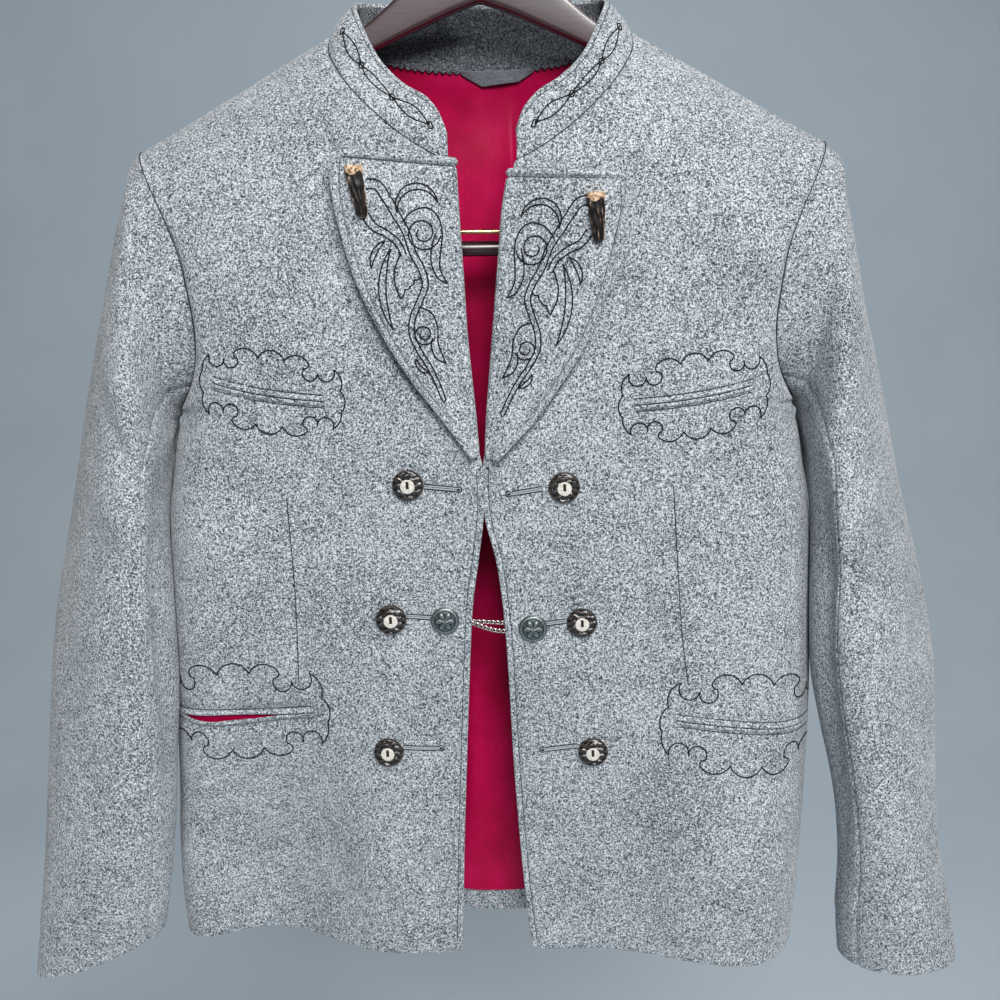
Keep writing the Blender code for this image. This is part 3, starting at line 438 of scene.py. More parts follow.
def outward_normals(grid, towards, closed=False):
    """Unit normals of a grid of points, facing the way `towards` points in its middle."""
    down = np.gradient(grid, axis=0)
    if closed:
        along = np.roll(grid, -1, axis=1) - np.roll(grid, 1, axis=1)
    else:
        along = np.gradient(grid, axis=1)
    found = np.cross(down, along)
    found /= np.maximum(np.linalg.norm(found, axis=2, keepdims=True), 1e-9)
    middle = found[grid.shape[0] // 2, grid.shape[1] // 2]
    return found if middle.dot(towards) > 0 else -found


def build(name, points, faces, looks, picks=None):
    """A smooth closed mesh object from points in millimetres. picks gives each face's look."""
    mesh = bpy.data.meshes.new(name)
    mesh.from_pydata((np.asarray(points) * MM).tolist(), [], faces)
    for look in looks:
        mesh.materials.append(look)
    if picks is not None:
        mesh.polygons.foreach_set("material_index", picks)
    shape = bmesh.new()
    shape.from_mesh(mesh)
    bmesh.ops.recalc_face_normals(shape, faces=shape.faces)
    shape.to_mesh(mesh)
    shape.free()
    mesh.shade_smooth()
    made = bpy.data.objects.new(name, mesh)
    bpy.context.scene.collection.objects.link(made)
    return made


def place_piece(made, slot, *nodes):
    """Rides a piece on the garment and lets it stand for its solids. Its slot is not used."""
    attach(made, "root")
    if nodes:
        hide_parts(*nodes)
    return made


RIM_STEPS = 4
RIM_FULLNESS = 0.8


def quads(rows, columns, base=0, closed=False):
    """Faces of a grid of points, row by row. A closed grid's rows are rings."""
    faces = []
    for low in range(base, base + (rows - 1) * columns, columns):
        high = low + columns
        for j in range(columns if closed else columns - 1):
            k = (j + 1) % columns
            faces.append((low + j, low + k, high + k, high + j))
    return faces


def panel(name, outer, inner, looks, inner_pick=None):
    """Cloth with a soft rounded edge between an outer and an inner grid. Faces of the inner grid take
    look 1 where inner_pick says so, and every other face takes look 0."""
    rows, columns = outer.shape[:2]
    count = rows * columns
    points = [outer.reshape(-1, 3), inner.reshape(-1, 3)]
    faces, picks = [], []
    grid_faces = quads(rows, columns)
    inner_picks = [0] * len(grid_faces) if inner_pick is None else inner_pick.ravel().astype(int).tolist()
    for corners, pick in zip(grid_faces, inner_picks):
        faces += [corners, tuple(count + c for c in reversed(corners))]
        picks += [0, pick]
    ring = [(0, j) for j in range(columns)] + [(i, columns - 1) for i in range(1, rows)]
    ring += [(rows - 1, j) for j in range(columns - 2, -1, -1)] + [(i, 0) for i in range(rows - 2, 0, -1)]
    i, j = np.array(ring).T
    inside = outer[np.clip(i, 1, rows - 2), np.clip(j, 1, columns - 2)]
    out, back = outer[i, j], inner[i, j]
    onward = out - inside
    through_cloth = out - back
    thickness = np.linalg.norm(through_cloth, axis=1, keepdims=True)
    through_cloth = through_cloth / np.maximum(thickness, 1e-9)
    onward -= through_cloth * (onward * through_cloth).sum(axis=1, keepdims=True)
    onward /= np.maximum(np.linalg.norm(onward, axis=1, keepdims=True), 1e-9)
    loops, base = [i * columns + j], 2 * count
    for k in range(1, RIM_STEPS):
        angle = math.pi * k / RIM_STEPS
        bulge = onward * thickness / 2 * math.sin(angle) * RIM_FULLNESS
        points.append((out + back) / 2 + (out - back) / 2 * math.cos(angle) + bulge)
        loops.append(base + np.arange(len(ring)))
        base += len(ring)
    loops.append(count + i * columns + j)
    for first, second in zip(loops, loops[1:]):
        for a in range(len(ring)):
            b = (a + 1) % len(ring)
            faces.append((int(first[b]), int(first[a]), int(second[a]), int(second[b])))
            picks.append(0)
    return build(name, np.concatenate(points), faces, looks, picks)


# Mélange of white, grey and blue-grey wool: flecks of about a millimetre, drawn a little coarser than
# the fibres so that they show, over soft clouds of 8 and 40 mm. Brushed nap scatters light at the edges.
FLECK_MM = 0.8
FIBRE_MM = 0.45
WOOL_FIELDS = [(FLECK_MM, (1, 1, 1)), (FIBRE_MM, (0.35, 1, 1.2)), (FIBRE_MM, (1.2, 1, 0.35))]
WAVES_PER_SIZE = 1 / 1.6
CURL_SCALE = 260.0
CURL_REACH = 0.0022
CLOUD_MM = 9.0
DRIFT_MM = 45.0
CLOUD_SHARE = 0.12
WOOL_DARKEST = 1.42
WOOL_LIGHTEST = 1.82
NAP_SHARE = 0.4
NAP_HEIGHT = 0.0011


def woollen(name, stops, sheen=0.25):
    sockets = {"Roughness": 0.95, "Sheen Weight": sheen, "Sheen Roughness": 0.6, "Specular IOR Level": 0.2}
    look, tree, shader = surface(name, sockets)
    place = add(tree, "ShaderNodeTexCoord").outputs["Object"]
    bend = add(tree, "ShaderNodeTexNoise", {"Vector": place, "Scale": CURL_SCALE, "Detail": 1.0})
    curl = {0: bend.outputs["Color"], "Scale": CURL_REACH}
    shift = add(tree, "ShaderNodeVectorMath", curl, operation="SCALE")
    bent = add(tree, "ShaderNodeVectorMath", {0: place, 1: shift.outputs[0]}, operation="ADD").outputs[0]
    fields = []
    for size, stretch in WOOL_FIELDS:
        scaled = add(tree, "ShaderNodeMapping", {"Vector": bent, "Scale": stretch}).outputs[0]
        scale = 1000 / size * WAVES_PER_SIZE
        noise = add(
            tree, "ShaderNodeTexNoise", {"Vector": scaled, "Scale": scale, "Detail": 2.0, "Roughness": 0.65}
        )
        fields.append(noise.outputs["Fac"])
    fleck = add(tree, "ShaderNodeMath", {0: fields[1], 1: fields[2]}, operation="ADD").outputs[0]
    mix = add(tree, "ShaderNodeMath", {0: fields[0], 1: 1.0, 2: fleck}, operation="MULTIPLY_ADD").outputs[0]
    cloud = add(tree, "ShaderNodeTexNoise", {"Vector": place, "Scale": 1000 / CLOUD_MM, "Detail": 2.0})
    drift = add(tree, "ShaderNodeTexNoise", {"Vector": place, "Scale": 1000 / DRIFT_MM, "Detail": 1.0})
    soft = add(tree, "ShaderNodeMath", {0: cloud.outputs["Fac"], 1: drift.outputs["Fac"]}, operation="ADD")
    clouded = {0: soft.outputs[0], 1: CLOUD_SHARE, 2: mix}
    level = add(tree, "ShaderNodeMath", clouded, operation="MULTIPLY_ADD").outputs[0]
    limits = {"Value": level, "From Min": WOOL_DARKEST, "From Max": WOOL_LIGHTEST}
    factor = add(tree, "ShaderNodeMapRange", limits)
    tone = add(tree, "ShaderNodeValToRGB", {"Fac": factor.outputs["Result"]}, stops).outputs["Color"]
    tree.links.new(tone, shader.inputs["Base Color"])
    rise = add(tree, "ShaderNodeMath", {0: mix, 1: NAP_SHARE}, operation="MULTIPLY").outputs[0]
    bump = add(tree, "ShaderNodeBump", {"Height": rise, "Distance": NAP_HEIGHT, "Strength": 0.55})
    tree.links.new(bump.outputs["Normal"], shader.inputs["Normal"])
    return look


loden = woollen("brushed_loden", [
    (0.0, "#2f363b"), (0.2, "#5c656c"), (0.42, "#889199"),
    (0.6, "#a9b1b8"), (0.8, "#ccd2d7"), (1.0, "#e9ecee"),
])

# Lining satin: fine threads along the cloth with long shallow lustre, worn smooth
satin, tree, shader = surface(
    "crimson_lining_satin", {"Roughness": 0.5, "Specular IOR Level": 0.2, "Anisotropic": 0.4}
)
place = add(tree, "ShaderNodeTexCoord").outputs["Object"]
drawn = add(tree, "ShaderNodeMapping", {"Vector": place, "Scale": (1, 1, 0.04)}).outputs[0]
threads = add(tree, "ShaderNodeTexNoise", {"Vector": drawn, "Scale": 1400.0, "Detail": 2.0}).outputs["Fac"]
cloud = add(tree, "ShaderNodeTexNoise", {"Vector": place, "Scale": 28.0, "Detail": 2.0}).outputs["Fac"]
both = add(tree, "ShaderNodeMath", {0: threads, 1: 0.5, 2: cloud}, operation="MULTIPLY_ADD").outputs[0]
crimsons = [(0.45, "#9c0034"), (0.75, "#b90045"), (1.0, "#cc0654")]
tone = add(tree, "ShaderNodeValToRGB", {"Fac": both}, crimsons)
tree.links.new(tone.outputs["Color"], shader.inputs["Base Color"])
bump = add(tree, "ShaderNodeBump", {"Height": threads, "Distance": 0.0002, "Strength": 0.25})
tree.links.new(bump.outputs["Normal"], shader.inputs["Normal"])

ROWS_PER_STEP = 8
BORDER_COLUMNS = [0, 1.2, 2.4, 4, 6.5, 10, 14, 19, 25, 32, 40, 50, 60]
EDGE_COLUMNS = [14, 9, 6.2, 5, 4.2, 3.4, 2.4, 1.2, 0]
FLAT_COLUMNS = 44
SEAM_DIP = 1.1
SEAM_WIDTH = 2.4
NECK_DIP = 1.8
LAP_Z = -440.0
LAP_LIFT = 3.0
LAP_HALF_HEIGHT = 26.0
LAP_REACH = 9.0
STITCH_IN = 3.6
GROOVE_DEPTH = 0.9
GROOVE_WIDTH = 0.9
HEM_GROOVE_RISE = 5.0
HEM_GROOVE_DEPTH = 0.3
HEM_GROOVE_WIDTH = 3.0
ROLL_SET_BACK = 3.4
FACING_WIDTH = 62.0
LINED_FROM_ROW = 16
LINED_TO_ROW = -6
UNDERARM_PASSES = 6


def rounded(face, oy, x, z, distance):
    """Depth of the cloth, rounded from its side seam at oy: squarer on the fronts below the armhole."""
    share = np.clip(distance / SIDE_ROUNDING, 0, 1)
    even = np.sqrt(1 - (1 - share) ** 2)
    square = (1 - (1 - share) ** 2.8) ** 0.45
    low = smoothstep((ARMHOLE_BOTTOM_Z - z) / 60) if face == FRONT else 0
    return oy + (cloth_y(face, x, z) - oy) * (even + (square - even) * low)


def front_surface(side):
    """Outer points of a front, and each point's distance from its side seam and from its front edge."""
    row = np.arange(0, LAST_ROW * ROWS_PER_STEP + 1) / ROWS_PER_STEP
    ox, oy, oz = outer_border(side, FRONT, row)
    ix, iz = inner_border(side, row)
    on_roll = smoothstep((row - len(FRONT_NECK) + 0.8) / 0.6) * smoothstep((iz - BREAK_Z + 6) / 25)
    ix = ix + side * ROLL_SET_BACK * on_roll
    length = np.abs(ox - ix)
    middle = np.linspace(0, 1, FLAT_COLUMNS + 2)[1:-1]
    distance = [np.full_like(length, d) for d in BORDER_COLUMNS]
    distance += [SIDE_ROUNDING + (length - EDGE_COLUMNS[0] - SIDE_ROUNDING) * share for share in middle]
    distance += [length - d for d in EDGE_COLUMNS]
    distance = np.stack(distance, axis=1)
    share = distance / length[:, None]
    x = ox[:, None] + (ix - ox)[:, None] * share
    z = oz[:, None] + (iz - oz)[:, None] * share
    y = np.minimum(rounded(FRONT, oy[:, None], x, z, distance), -SEAM_GAP)
    underarm = ARMHOLE_STEPS * ROWS_PER_STEP
    y[underarm - 4:, 0] = oy[underarm - 4:]
    near = slice(underarm - 12, underarm + 13)
    for _ in range(UNDERARM_PASSES):
        smooth = (y[:-2] + 2 * y[1:-1] + y[2:]) / 4
        y[near, 3:-9] = smooth[underarm - 13:underarm + 12, 3:-9]
    return np.stack([x, y, z], axis=2), distance, length[:, None] - distance


# Pocket mouths press the cloth in
Pocket = namedtuple("Pocket", "name side inner_x inner_z outer_x outer_z sag gape")
POCKETS = [
    Pocket("chest_left", LEFT, -110, -372, -186, -359, 2.0, 0.6),
    Pocket("chest_right", RIGHT, 101, -378, 181, -366, 2.0, 0.6),
    Pocket("hip_left", LEFT, -132, -603, -237, -607, 1.5, 6.2),
    Pocket("hip_right", RIGHT, 134, -608, 236, -619, 0.0, 0.6),
]
MOUTH_PRESS = 2.4
MOUTH_WIDTH = 2.6
CLOSED_GAPE = 0.6

# The fronts sink a little along the lapels' outer edges, which stand proud of them: (x, z) places
LAPEL_BED = {
    LEFT: [(-98, -200), (-97, -237), (-91.5, -265), (-82, -297), (-67.5, -328), (-49.5, -358), (-29.5, -385)],
    RIGHT: [(96, -217), (93.6, -251), (87.8, -276), (79, -305), (67, -334), (50, -361), (30.5, -388)],
}
BED_OUT = 2.4
BED_WIDTH = 5.2
BED_DEPTH = 3.8


def mouth_distance(pocket, x, z):
    """Signed height above a pocket's mouth, and the place along it."""
    share = (x - pocket.inner_x) / (pocket.outer_x - pocket.inner_x)
    middle = pocket.inner_z + (pocket.outer_z - pocket.inner_z) * share
    return z - middle + pocket.sag * np.sin(np.pi * np.clip(share, 0, 1)), share


def front_push(side, x, z):
    """How far creases push a front outwards, less how far its pocket mouths press it in."""
    push = creased(CREASES, FRONT, x, z)
    for pocket in POCKETS:
        if pocket.side == side:
            up, share = mouth_distance(pocket, x, z)
            on = smoothstep((share + 0.02) / 0.05) * smoothstep((1.02 - share) / 0.05)
            press = MOUTH_PRESS + 0.6 * max(0, pocket.gape - CLOSED_GAPE)
            push = push - press * hump(up, MOUTH_WIDTH + pocket.gape / 2) * on
    return push


def dressed_front(side):
    """A front with its creases, and with its seam valleys, the grooves of its stitching and the bed of
    its lapel pushed in."""
    grid, from_side, from_edge = front_surface(side)
    out = outward_normals(grid, (0, -1, 0))
    x, z = grid[:, :, 0], grid[:, :, 2]
    push = front_push(side, x, z)
    push *= np.clip(-out[:, :, 1], 0, 1) * smoothstep(from_side / CREASE_FADE)
    push -= SEAM_DIP * hump(from_side, SEAM_WIDTH)
    open_edge = smoothstep((BREAK_Z - 4 - z) / 12)
    push -= GROOVE_DEPTH * hump(from_edge - STITCH_IN, GROOVE_WIDTH) * open_edge
    push -= side * LAP_LIFT * hump(z - LAP_Z, LAP_HALF_HEIGHT) * hump(from_edge, LAP_REACH)
    bed_x, bed_z = np.array(LAPEL_BED[side], float).T
    beside = side * x - np.interp(-z, -bed_z, side * bed_x) - BED_OUT
    in_bed = smoothstep((bed_z[0] + 12 - z) / 20) * smoothstep((z - bed_z[-1] + 6) / 30)
    push -= BED_DEPTH * hump(beside, BED_WIDTH) * in_bed
    at_neck = smoothstep((len(FRONT_NECK) - 0.9 - np.arange(len(grid)) / ROWS_PER_STEP) / 0.4)[:, None]
    push -= NECK_DIP * hump(from_edge, SEAM_WIDTH) * at_neck
    push -= HEM_GROOVE_DEPTH * hump(z - z[-1:] - HEM_GROOVE_RISE, HEM_GROOVE_WIDTH)
    return grid + out * push[:, :, None], out, from_edge


front_skins = {}
for side in (LEFT, RIGHT):
    grid, out, from_edge = dressed_front(side)
    inner = grid - out * LODEN
    lined = from_edge[:-1, :-1] > FACING_WIDTH
    lined[:LINED_FROM_ROW] = True
    lined[LINED_TO_ROW:] = False
    made = panel(f"front_{WORDS[side]}_cloth", grid, inner, [loden, satin], lined)
    place_piece(made, "grey_loden", f"front_{WORDS[side]}")
    front_skins[side] = grid


# --- Back --------------------------------------------------------------------------------------------
# One loden panel between the side seams, hollowed at the neck and cut a little longer in the middle. It
# is seamed to the fronts along the shoulders and sides, with the seams pressed open.

BACK_NECK = [
    Neck(NECK_HALF_WIDTH, NECK_RIDGE_Z),
    Neck(92, -137),
    Neck(71, -142),
    Neck(40, -146),
    Neck(0, -147),
]
BACK_HEM_DROP = 9.0
BACK_FLAT_COLUMNS = 44


def back_neck_z(x):
    rows = BACK_NECK[::-1]
    return through([seam.x for seam in rows], [seam.z for seam in rows], np.abs(x))


def back_surface(rows_per_step, border, flat_columns):
    """Outer points of the back from the left side seam to the right, and their distances from it."""
    row = np.arange(0, LAST_ROW * rows_per_step + 1) / rows_per_step
    halves = []
    for side in (LEFT, RIGHT):
        ox, oy, oz = outer_border(side, BACK, row)
        width = np.abs(ox)[:, None]
        flat = np.linspace(0, 1, flat_columns // 2 + 1)[1:]
        distance = np.concatenate([
            np.tile(np.array(border, float), (len(row), 1)),
            SIDE_ROUNDING + (width - SIDE_ROUNDING) * flat,
        ], axis=1)
        x = side * (width - distance)
        top_x = np.abs(x[0])
        top = np.where(top_x < NECK_HALF_WIDTH, back_neck_z(top_x), ridge_z(top_x))
        share = ((ARMHOLE_TOP_Z - oz) / (ARMHOLE_TOP_Z - ARMHOLE_BOTTOM_Z))[:, None]
        above = top[None, :] + (ARMHOLE_BOTTOM_Z - top[None, :]) * share
        drop = ((ARMHOLE_BOTTOM_Z - oz) / (ARMHOLE_BOTTOM_Z - HEM_Z))[:, None]
        below = oz[:, None] - BACK_HEM_DROP * drop * smoothstep(distance / (2 * SIDE_ROUNDING))
        z = np.where((row <= ARMHOLE_STEPS)[:, None], above, below)
        y = np.maximum(rounded(BACK, oy[:, None], x, z, distance), SEAM_GAP)
        halves.append((np.stack([x, y, z], axis=2), distance))
    grid = np.concatenate([halves[0][0], halves[1][0][:, -2::-1]], axis=1)
    return grid, np.concatenate([halves[0][1], halves[1][1][:, -2::-1]], axis=1)


back_skin, from_side = back_surface(ROWS_PER_STEP, BORDER_COLUMNS, 2 * BACK_FLAT_COLUMNS)
back_out = outward_normals(back_skin, (0, 1, 0))
push = creased(CREASES, BACK, back_skin[:, :, 0], back_skin[:, :, 2])
push *= np.clip(back_out[:, :, 1], 0, 1) * smoothstep(from_side / CREASE_FADE)
push -= SEAM_DIP * hump(from_side, SEAM_WIDTH)
back_skin = back_skin + back_out * push[:, :, None]
back_inner = back_skin - back_out * LODEN
made = panel("back_cloth", back_skin, back_inner, [loden])
place_piece(made, "grey_loden", "back")


# --- Sleeves -----------------------------------------------------------------------------------------
# Two-piece sleeves eased into the armholes: a wide top piece and a narrow under piece, seamed along the
# forearm and the hind arm. They hang bent at the elbow, with soft folds where they bend.

Section = namedtuple("Section", "inner_x inner_z outer_x outer_z y half_depth lean")
SLEEVES = {
    LEFT: [
        Section(223.8, -384, 242, -211, 4, 50, 0),
        Section(224.5, -388, 246, -224, 3, 53, 0),
        Section(226.5, -391, 253, -242, 1, 55, 5),
        Section(226.5, -395, 261, -265, -1, 57, 12),
        Section(226.0, -401, 273, -300, -4, 58, 20),
        Section(225.5, -410, 284, -335, -8, 58, 29),
        Section(226.0, -428, 296, -378, -13, 57, 36),
        Section(224.5, -457, 307, -428, -20, 56, 40),
        Section(221.5, -497, 316, -475, -27, 53, 38),
        Section(220.5, -541, 325, -523, -33, 50, 35),
        Section(221.5, -585, 331, -572, -38, 46, 32),
        Section(227.0, -630, 335, -624, -43, 42, 28),
        Section(232.0, -676, 339, -678, -48, 37, 22),
        Section(240.5, -722, 343, -728, -52, 32, 14),
        Section(247.0, -750, 348, -768, -54, 29, 7),
        Section(252.5, -771, 353, -807, -55, 26, 0),
    ],
    RIGHT: [
        Section(223.8, -384, 246, -212, 4, 50, 0),
        Section(224.5, -388, 248, -226, 3, 53, 0),
        Section(226.5, -391, 254, -247, 1, 55, 5),
        Section(226.5, -395, 261, -271, -1, 57, 12),
        Section(226.0, -401, 270, -303, -4, 58, 20),
        Section(225.5, -410, 280, -336, -8, 58, 29),
        Section(226.0, -428, 292, -380, -13, 57, 36),
        Section(225.5, -457, 304, -432, -20, 56, 40),
        Section(224.0, -497, 316, -483, -27, 53, 38),
        Section(223.5, -541, 327, -535, -33, 50, 35),
        Section(227.5, -585, 333, -580, -38, 47, 32),
        Section(238.5, -630, 334, -632, -43, 44, 28),
        Section(249.0, -676, 335, -684, -48, 40, 22),
        Section(255.5, -722, 339, -729, -51, 37, 14),
        Section(258.0, -764, 347, -768, -52, 35, 7),
        Section(263.0, -804, 352, -802, -52, 33, 0),
    ],
}
# How far the inner front of each sleeve hangs back beside the body: (section number, mm). Angles and
# reaches round the sleeve are in degrees
TUCK = {
    LEFT: [(5, 0), (6, 2), (7, 5), (8, 9), (9, 14), (10, 16), (11, 15), (12, 11), (13, 7), (14, 3), (15, 0)],
    RIGHT: [(5, 0), (6, 2), (7, 6), (8, 11), (9, 15), (10, 17), (11, 17), (12, 13), (13, 9), (14, 5),
            (15, 0)],
}
TUCK_ANGLE = 172.0
TUCK_REACH = 34.0
TUCK_END_REACH = 27.0
SET_BACK_ANGLE = TUCK_ANGLE - 24.0
SET_BACK_SHARE = 0.4
# How far the hind inner side comes back in to the body behind that hollow: (section number, mm)
CLOSE = {
    LEFT: [(5, 0), (6, 7), (6.5, 8), (7, 8), (7.5, 6), (8, 3), (8.5, 0.6), (9, -1), (9.5, -1.4),
           (10, -1.2), (10.5, -0.6), (11, 1), (12, 4), (13, 0)],
    RIGHT: [(5, 0), (6, 7), (6.5, 7.5), (7, 7.2), (7.5, 5.8), (8, 3.6), (8.5, 2.4), (9, 2), (10, 2), (11, 5),
            (12, 5), (13, 0)],
}
CLOSE_ANGLE = 230.0
CLOSE_REACH = 16.0
FOREARM_SEAM = math.radians(144)
HIND_ARM_SEAM = math.radians(234)
SLEEVE_RADIUS = 50.0
SLEEVE_STEPS = 10
SLEEVE_SECTIONS = 16
SEAM_COLUMNS = np.array([0.15, 1.2, 2.4, 4, 6.5])
CROWN_PLACES = [0, 0.15, 0.35, 0.7, 1.1, 1.6]
CROWN_GAP = 0.3
CROWN_DIP = 1.2 * SEAM_DIP
CROWN_SWELL = 1.3
CUFF_GROOVE_DEPTH = 0.5
CUFF_GROOVE_PLACE = 15.2
CUFF_LINING_PLACE = 15.0

# Creases round a sleeve: places are (degrees round it, section number)
PULL_BOW = 0.12
PULL_TAPER = 16.0
Pull = namedtuple("Pull", "side angle0 place0 angle1 place1 width depth")
PULLS = [
    Pull(LEFT, 150, 7.0, 70, 6.2, 0.45, -3.4),
    Pull(LEFT, 150, 8.1, 60, 7.6, 0.42, 2.6),
    Pull(LEFT, 155, 8.9, 85, 8.6, 0.40, -3.2),
    Pull(LEFT, 140, 9.8, 60, 10.1, 0.50, 2.2),
    Pull(LEFT, 60, 2.0, 25, 5.5, 0.80, -1.8),
    Pull(LEFT, 100, 2.5, 85, 5.6, 0.70, 1.6),
    Pull(LEFT, 30, 9.0, 95, 12.5, 0.90, -1.8),
    Pull(LEFT, 140, 11.5, 60, 12.6, 0.50, -2.0),
    Pull(LEFT, 130, 13.4, 50, 13.9, 0.45, 1.5),
    Pull(LEFT, 230, 5.5, 300, 7.0, 0.60, -2.4),
    Pull(LEFT, 235, 8.0, 310, 8.6, 0.60, 2.0),
    Pull(LEFT, 250, 10.5, 320, 11.8, 0.60, -2.0),
    Pull(RIGHT, 150, 6.8, 75, 6.3, 0.45, -3.2),
    Pull(RIGHT, 152, 7.9, 65, 7.9, 0.42, 2.4),
    Pull(RIGHT, 150, 9.0, 70, 8.9, 0.42, -3.0),
    Pull(RIGHT, 140, 10.2, 60, 9.8, 0.50, 2.0),
    Pull(RIGHT, 65, 2.0, 35, 5.2, 0.80, -1.6),
    Pull(RIGHT, 105, 2.6, 90, 5.4, 0.70, 1.6),
    Pull(RIGHT, 20, 8.6, 90, 12.0, 0.90, -1.6),
    Pull(RIGHT, 130, 13.7, 20, 13.5, 0.50, -1.8),
    Pull(RIGHT, 120, 11.8, 50, 12.2, 0.50, 1.6),
    Pull(RIGHT, 232, 5.7, 305, 7.2, 0.60, -2.4),
    Pull(RIGHT, 240, 8.2, 300, 9.0, 0.60, 1.8),
    Pull(RIGHT, 245, 10.8, 315, 11.6, 0.60, -2.0),
]


def sleeve_point(side, place, angle):
    """Sleeve points at a place along it (0 at the armhole, then the sections) and an angle round it."""
    step = angle / math.pi * ARMHOLE_STEPS
    fore = step <= ARMHOLE_STEPS
    front = armhole(side, FRONT, np.clip(step, 0, ARMHOLE_STEPS))
    rear = armhole(side, BACK, np.clip(2 * ARMHOLE_STEPS - step, 0, ARMHOLE_STEPS))
    first = np.stack([np.where(fore, f, r) for f, r in zip(front, rear)], axis=-1)
    first[..., 0] += side * CROWN_GAP
    table = SLEEVES[side]
    keys = np.arange(1, len(table) + 1)
    at = np.maximum(place, 1)
    value = {name: through(keys, [getattr(row, name) for row in table], at) for name in Section._fields}
    middle_x = side * (value["inner_x"] + value["outer_x"]) / 2
    half_x = side * (value["outer_x"] - value["inner_x"]) / 2
    middle_z, half_z = (value["inner_z"] + value["outer_z"]) / 2, (value["outer_z"] - value["inner_z"]) / 2
    ahead = np.sin(angle - np.radians(value["lean"]))
    degrees = np.degrees(angle)
    tuck = lookup(TUCK[side], at)
    aside = tuck * hump(degrees - TUCK_ANGLE, np.where(degrees > TUCK_ANGLE, TUCK_END_REACH, TUCK_REACH))
    aside = aside - lookup(CLOSE[side], at) * hump(degrees - CLOSE_ANGLE, CLOSE_REACH)
    set_back = SET_BACK_SHARE * tuck * hump(degrees - SET_BACK_ANGLE, TUCK_REACH)
    ring = np.stack([
        middle_x + half_x * np.cos(angle) + side * aside,
        value["y"] - ahead * value["half_depth"] + set_back,
        middle_z + half_z * np.cos(angle),
    ], axis=-1)
    turn = np.clip(place, 0, 1)[..., None]
    return first * (1 - turn) + ring * turn


def sleeve_push(side, place, angle):
    """How far the creases push a sleeve outwards."""
    degrees = np.degrees(angle)
    total = np.zeros_like(degrees)
    for pull in PULLS:
        if pull.side != side:
            continue
        for wrap in (0, 360):
            around = (degrees - wrap - pull.angle0) / (pull.angle1 - pull.angle0)
            inside = np.clip(around, 0, 1)
            swell = np.sin(math.pi * inside)
            line = pull.place0 + (pull.place1 - pull.place0) * inside + PULL_BOW * swell
            beyond = np.maximum(0, np.maximum(-around, around - 1)) * abs(pull.angle1 - pull.angle0)
            shape = hump(place - line, pull.width) * hump(beyond, PULL_TAPER)
            total += pull.depth * (0.4 + 0.6 * swell) * shape
    return total * smoothstep((place - 1.2) / 1.5) * smoothstep((SLEEVE_SECTIONS + 0.2 - place) / 1.6)


def sleeve_panel(side, word, start, stop, columns):
    """Makes the top or under piece of a sleeve, between two seams at angles round it."""
    width = SLEEVE_RADIUS * (stop - start)
    between = np.linspace(10, width - 10, columns)
    distance = np.concatenate([SEAM_COLUMNS, between, width - SEAM_COLUMNS[::-1]])
    angle = (start + distance / SLEEVE_RADIUS)[None, :]
    lower = np.arange(2 * SLEEVE_STEPS, SLEEVE_SECTIONS * SLEEVE_STEPS + 1) / SLEEVE_STEPS
    place, angle = np.broadcast_arrays(np.concatenate([CROWN_PLACES, lower])[:, None], angle)
    turned = np.mod(angle, 2 * math.pi)
    grid = sleeve_point(side, place, turned)
    middle = angle[grid.shape[0] // 2, grid.shape[1] // 2]
    out = outward_normals(grid, (side * math.cos(middle), -math.sin(middle), 0))
    push = sleeve_push(side, place, turned)
    push -= SEAM_DIP * hump(np.minimum(distance, width - distance)[None, :], SEAM_WIDTH)
    push -= CROWN_DIP * hump(place, 0.3)
    push += CROWN_SWELL * hump(place - 1.2, 0.6) * np.clip(0.3 + np.cos(turned), 0, 1)
    push -= CUFF_GROOVE_DEPTH * hump(place - CUFF_GROOVE_PLACE, 0.16)
    grid = grid + out * push[..., None]
    lined = place[:-1, :-1] < CUFF_LINING_PLACE
    name = f"sleeve_{word}_{WORDS[side]}"
    made = panel(name + "_cloth", grid, grid - out * LODEN, [loden, satin], lined)
    place_piece(made, "grey_loden", name)


for side in (LEFT, RIGHT):
    sleeve_panel(side, "top", HIND_ARM_SEAM, 2 * math.pi + FOREARM_SEAM, 62)
    sleeve_panel(side, "under", FOREARM_SEAM, HIND_ARM_SEAM, 18)


# --- Collar ------------------------------------------------------------------------------------------
# A standing collar of two layers of loden, sewn to the neck seam and stitched close to its edge, with
# a band of dark felt inside it that is pinked along its lower edge.

Top = namedtuple("Top", "x y z")
COLLAR_TOP = [
    Top(23, -47, -192),
    Top(36, -40, -175.5),
    Top(53, -32, -164),
    Top(69, -22, -147),
    Top(82, -8, -120),
    Top(86, 4, -110),
    Top(82, 18, -107),
    Top(66, 31, -106),
    Top(38, 41, -105.5),
    Top(0, 45, -105),
]
COLLAR_CLOTH = 2.6
COLLAR_SEAM = 0.6
COLLAR_BELLY = 1.6
COLLAR_STATIONS = 18
FRONT_STATIONS = len(FRONT_NECK) - 1
COLLAR_ROWS = [0, 0.02, 0.05, 0.1, 0.18, 0.28, 0.38, 0.48, 0.58, 0.68, 0.77, 0.84, 0.89, 0.93, 0.965, 1.0]
COLLAR_END_COLUMNS = np.array([0, 0.06, 0.12, 0.2, 0.3, 0.42])
COLLAR_HEIGHT = 38.0
STATION_LENGTH = 22.0
COLLAR_STITCH_IN = 3.2
COLLAR_GROOVE = 0.8
COLLAR_WAVE = 0.7
COLLAR_LEAN = [(10, 0), (12, 2), (14, 8), (16, 12), (18, 9)]


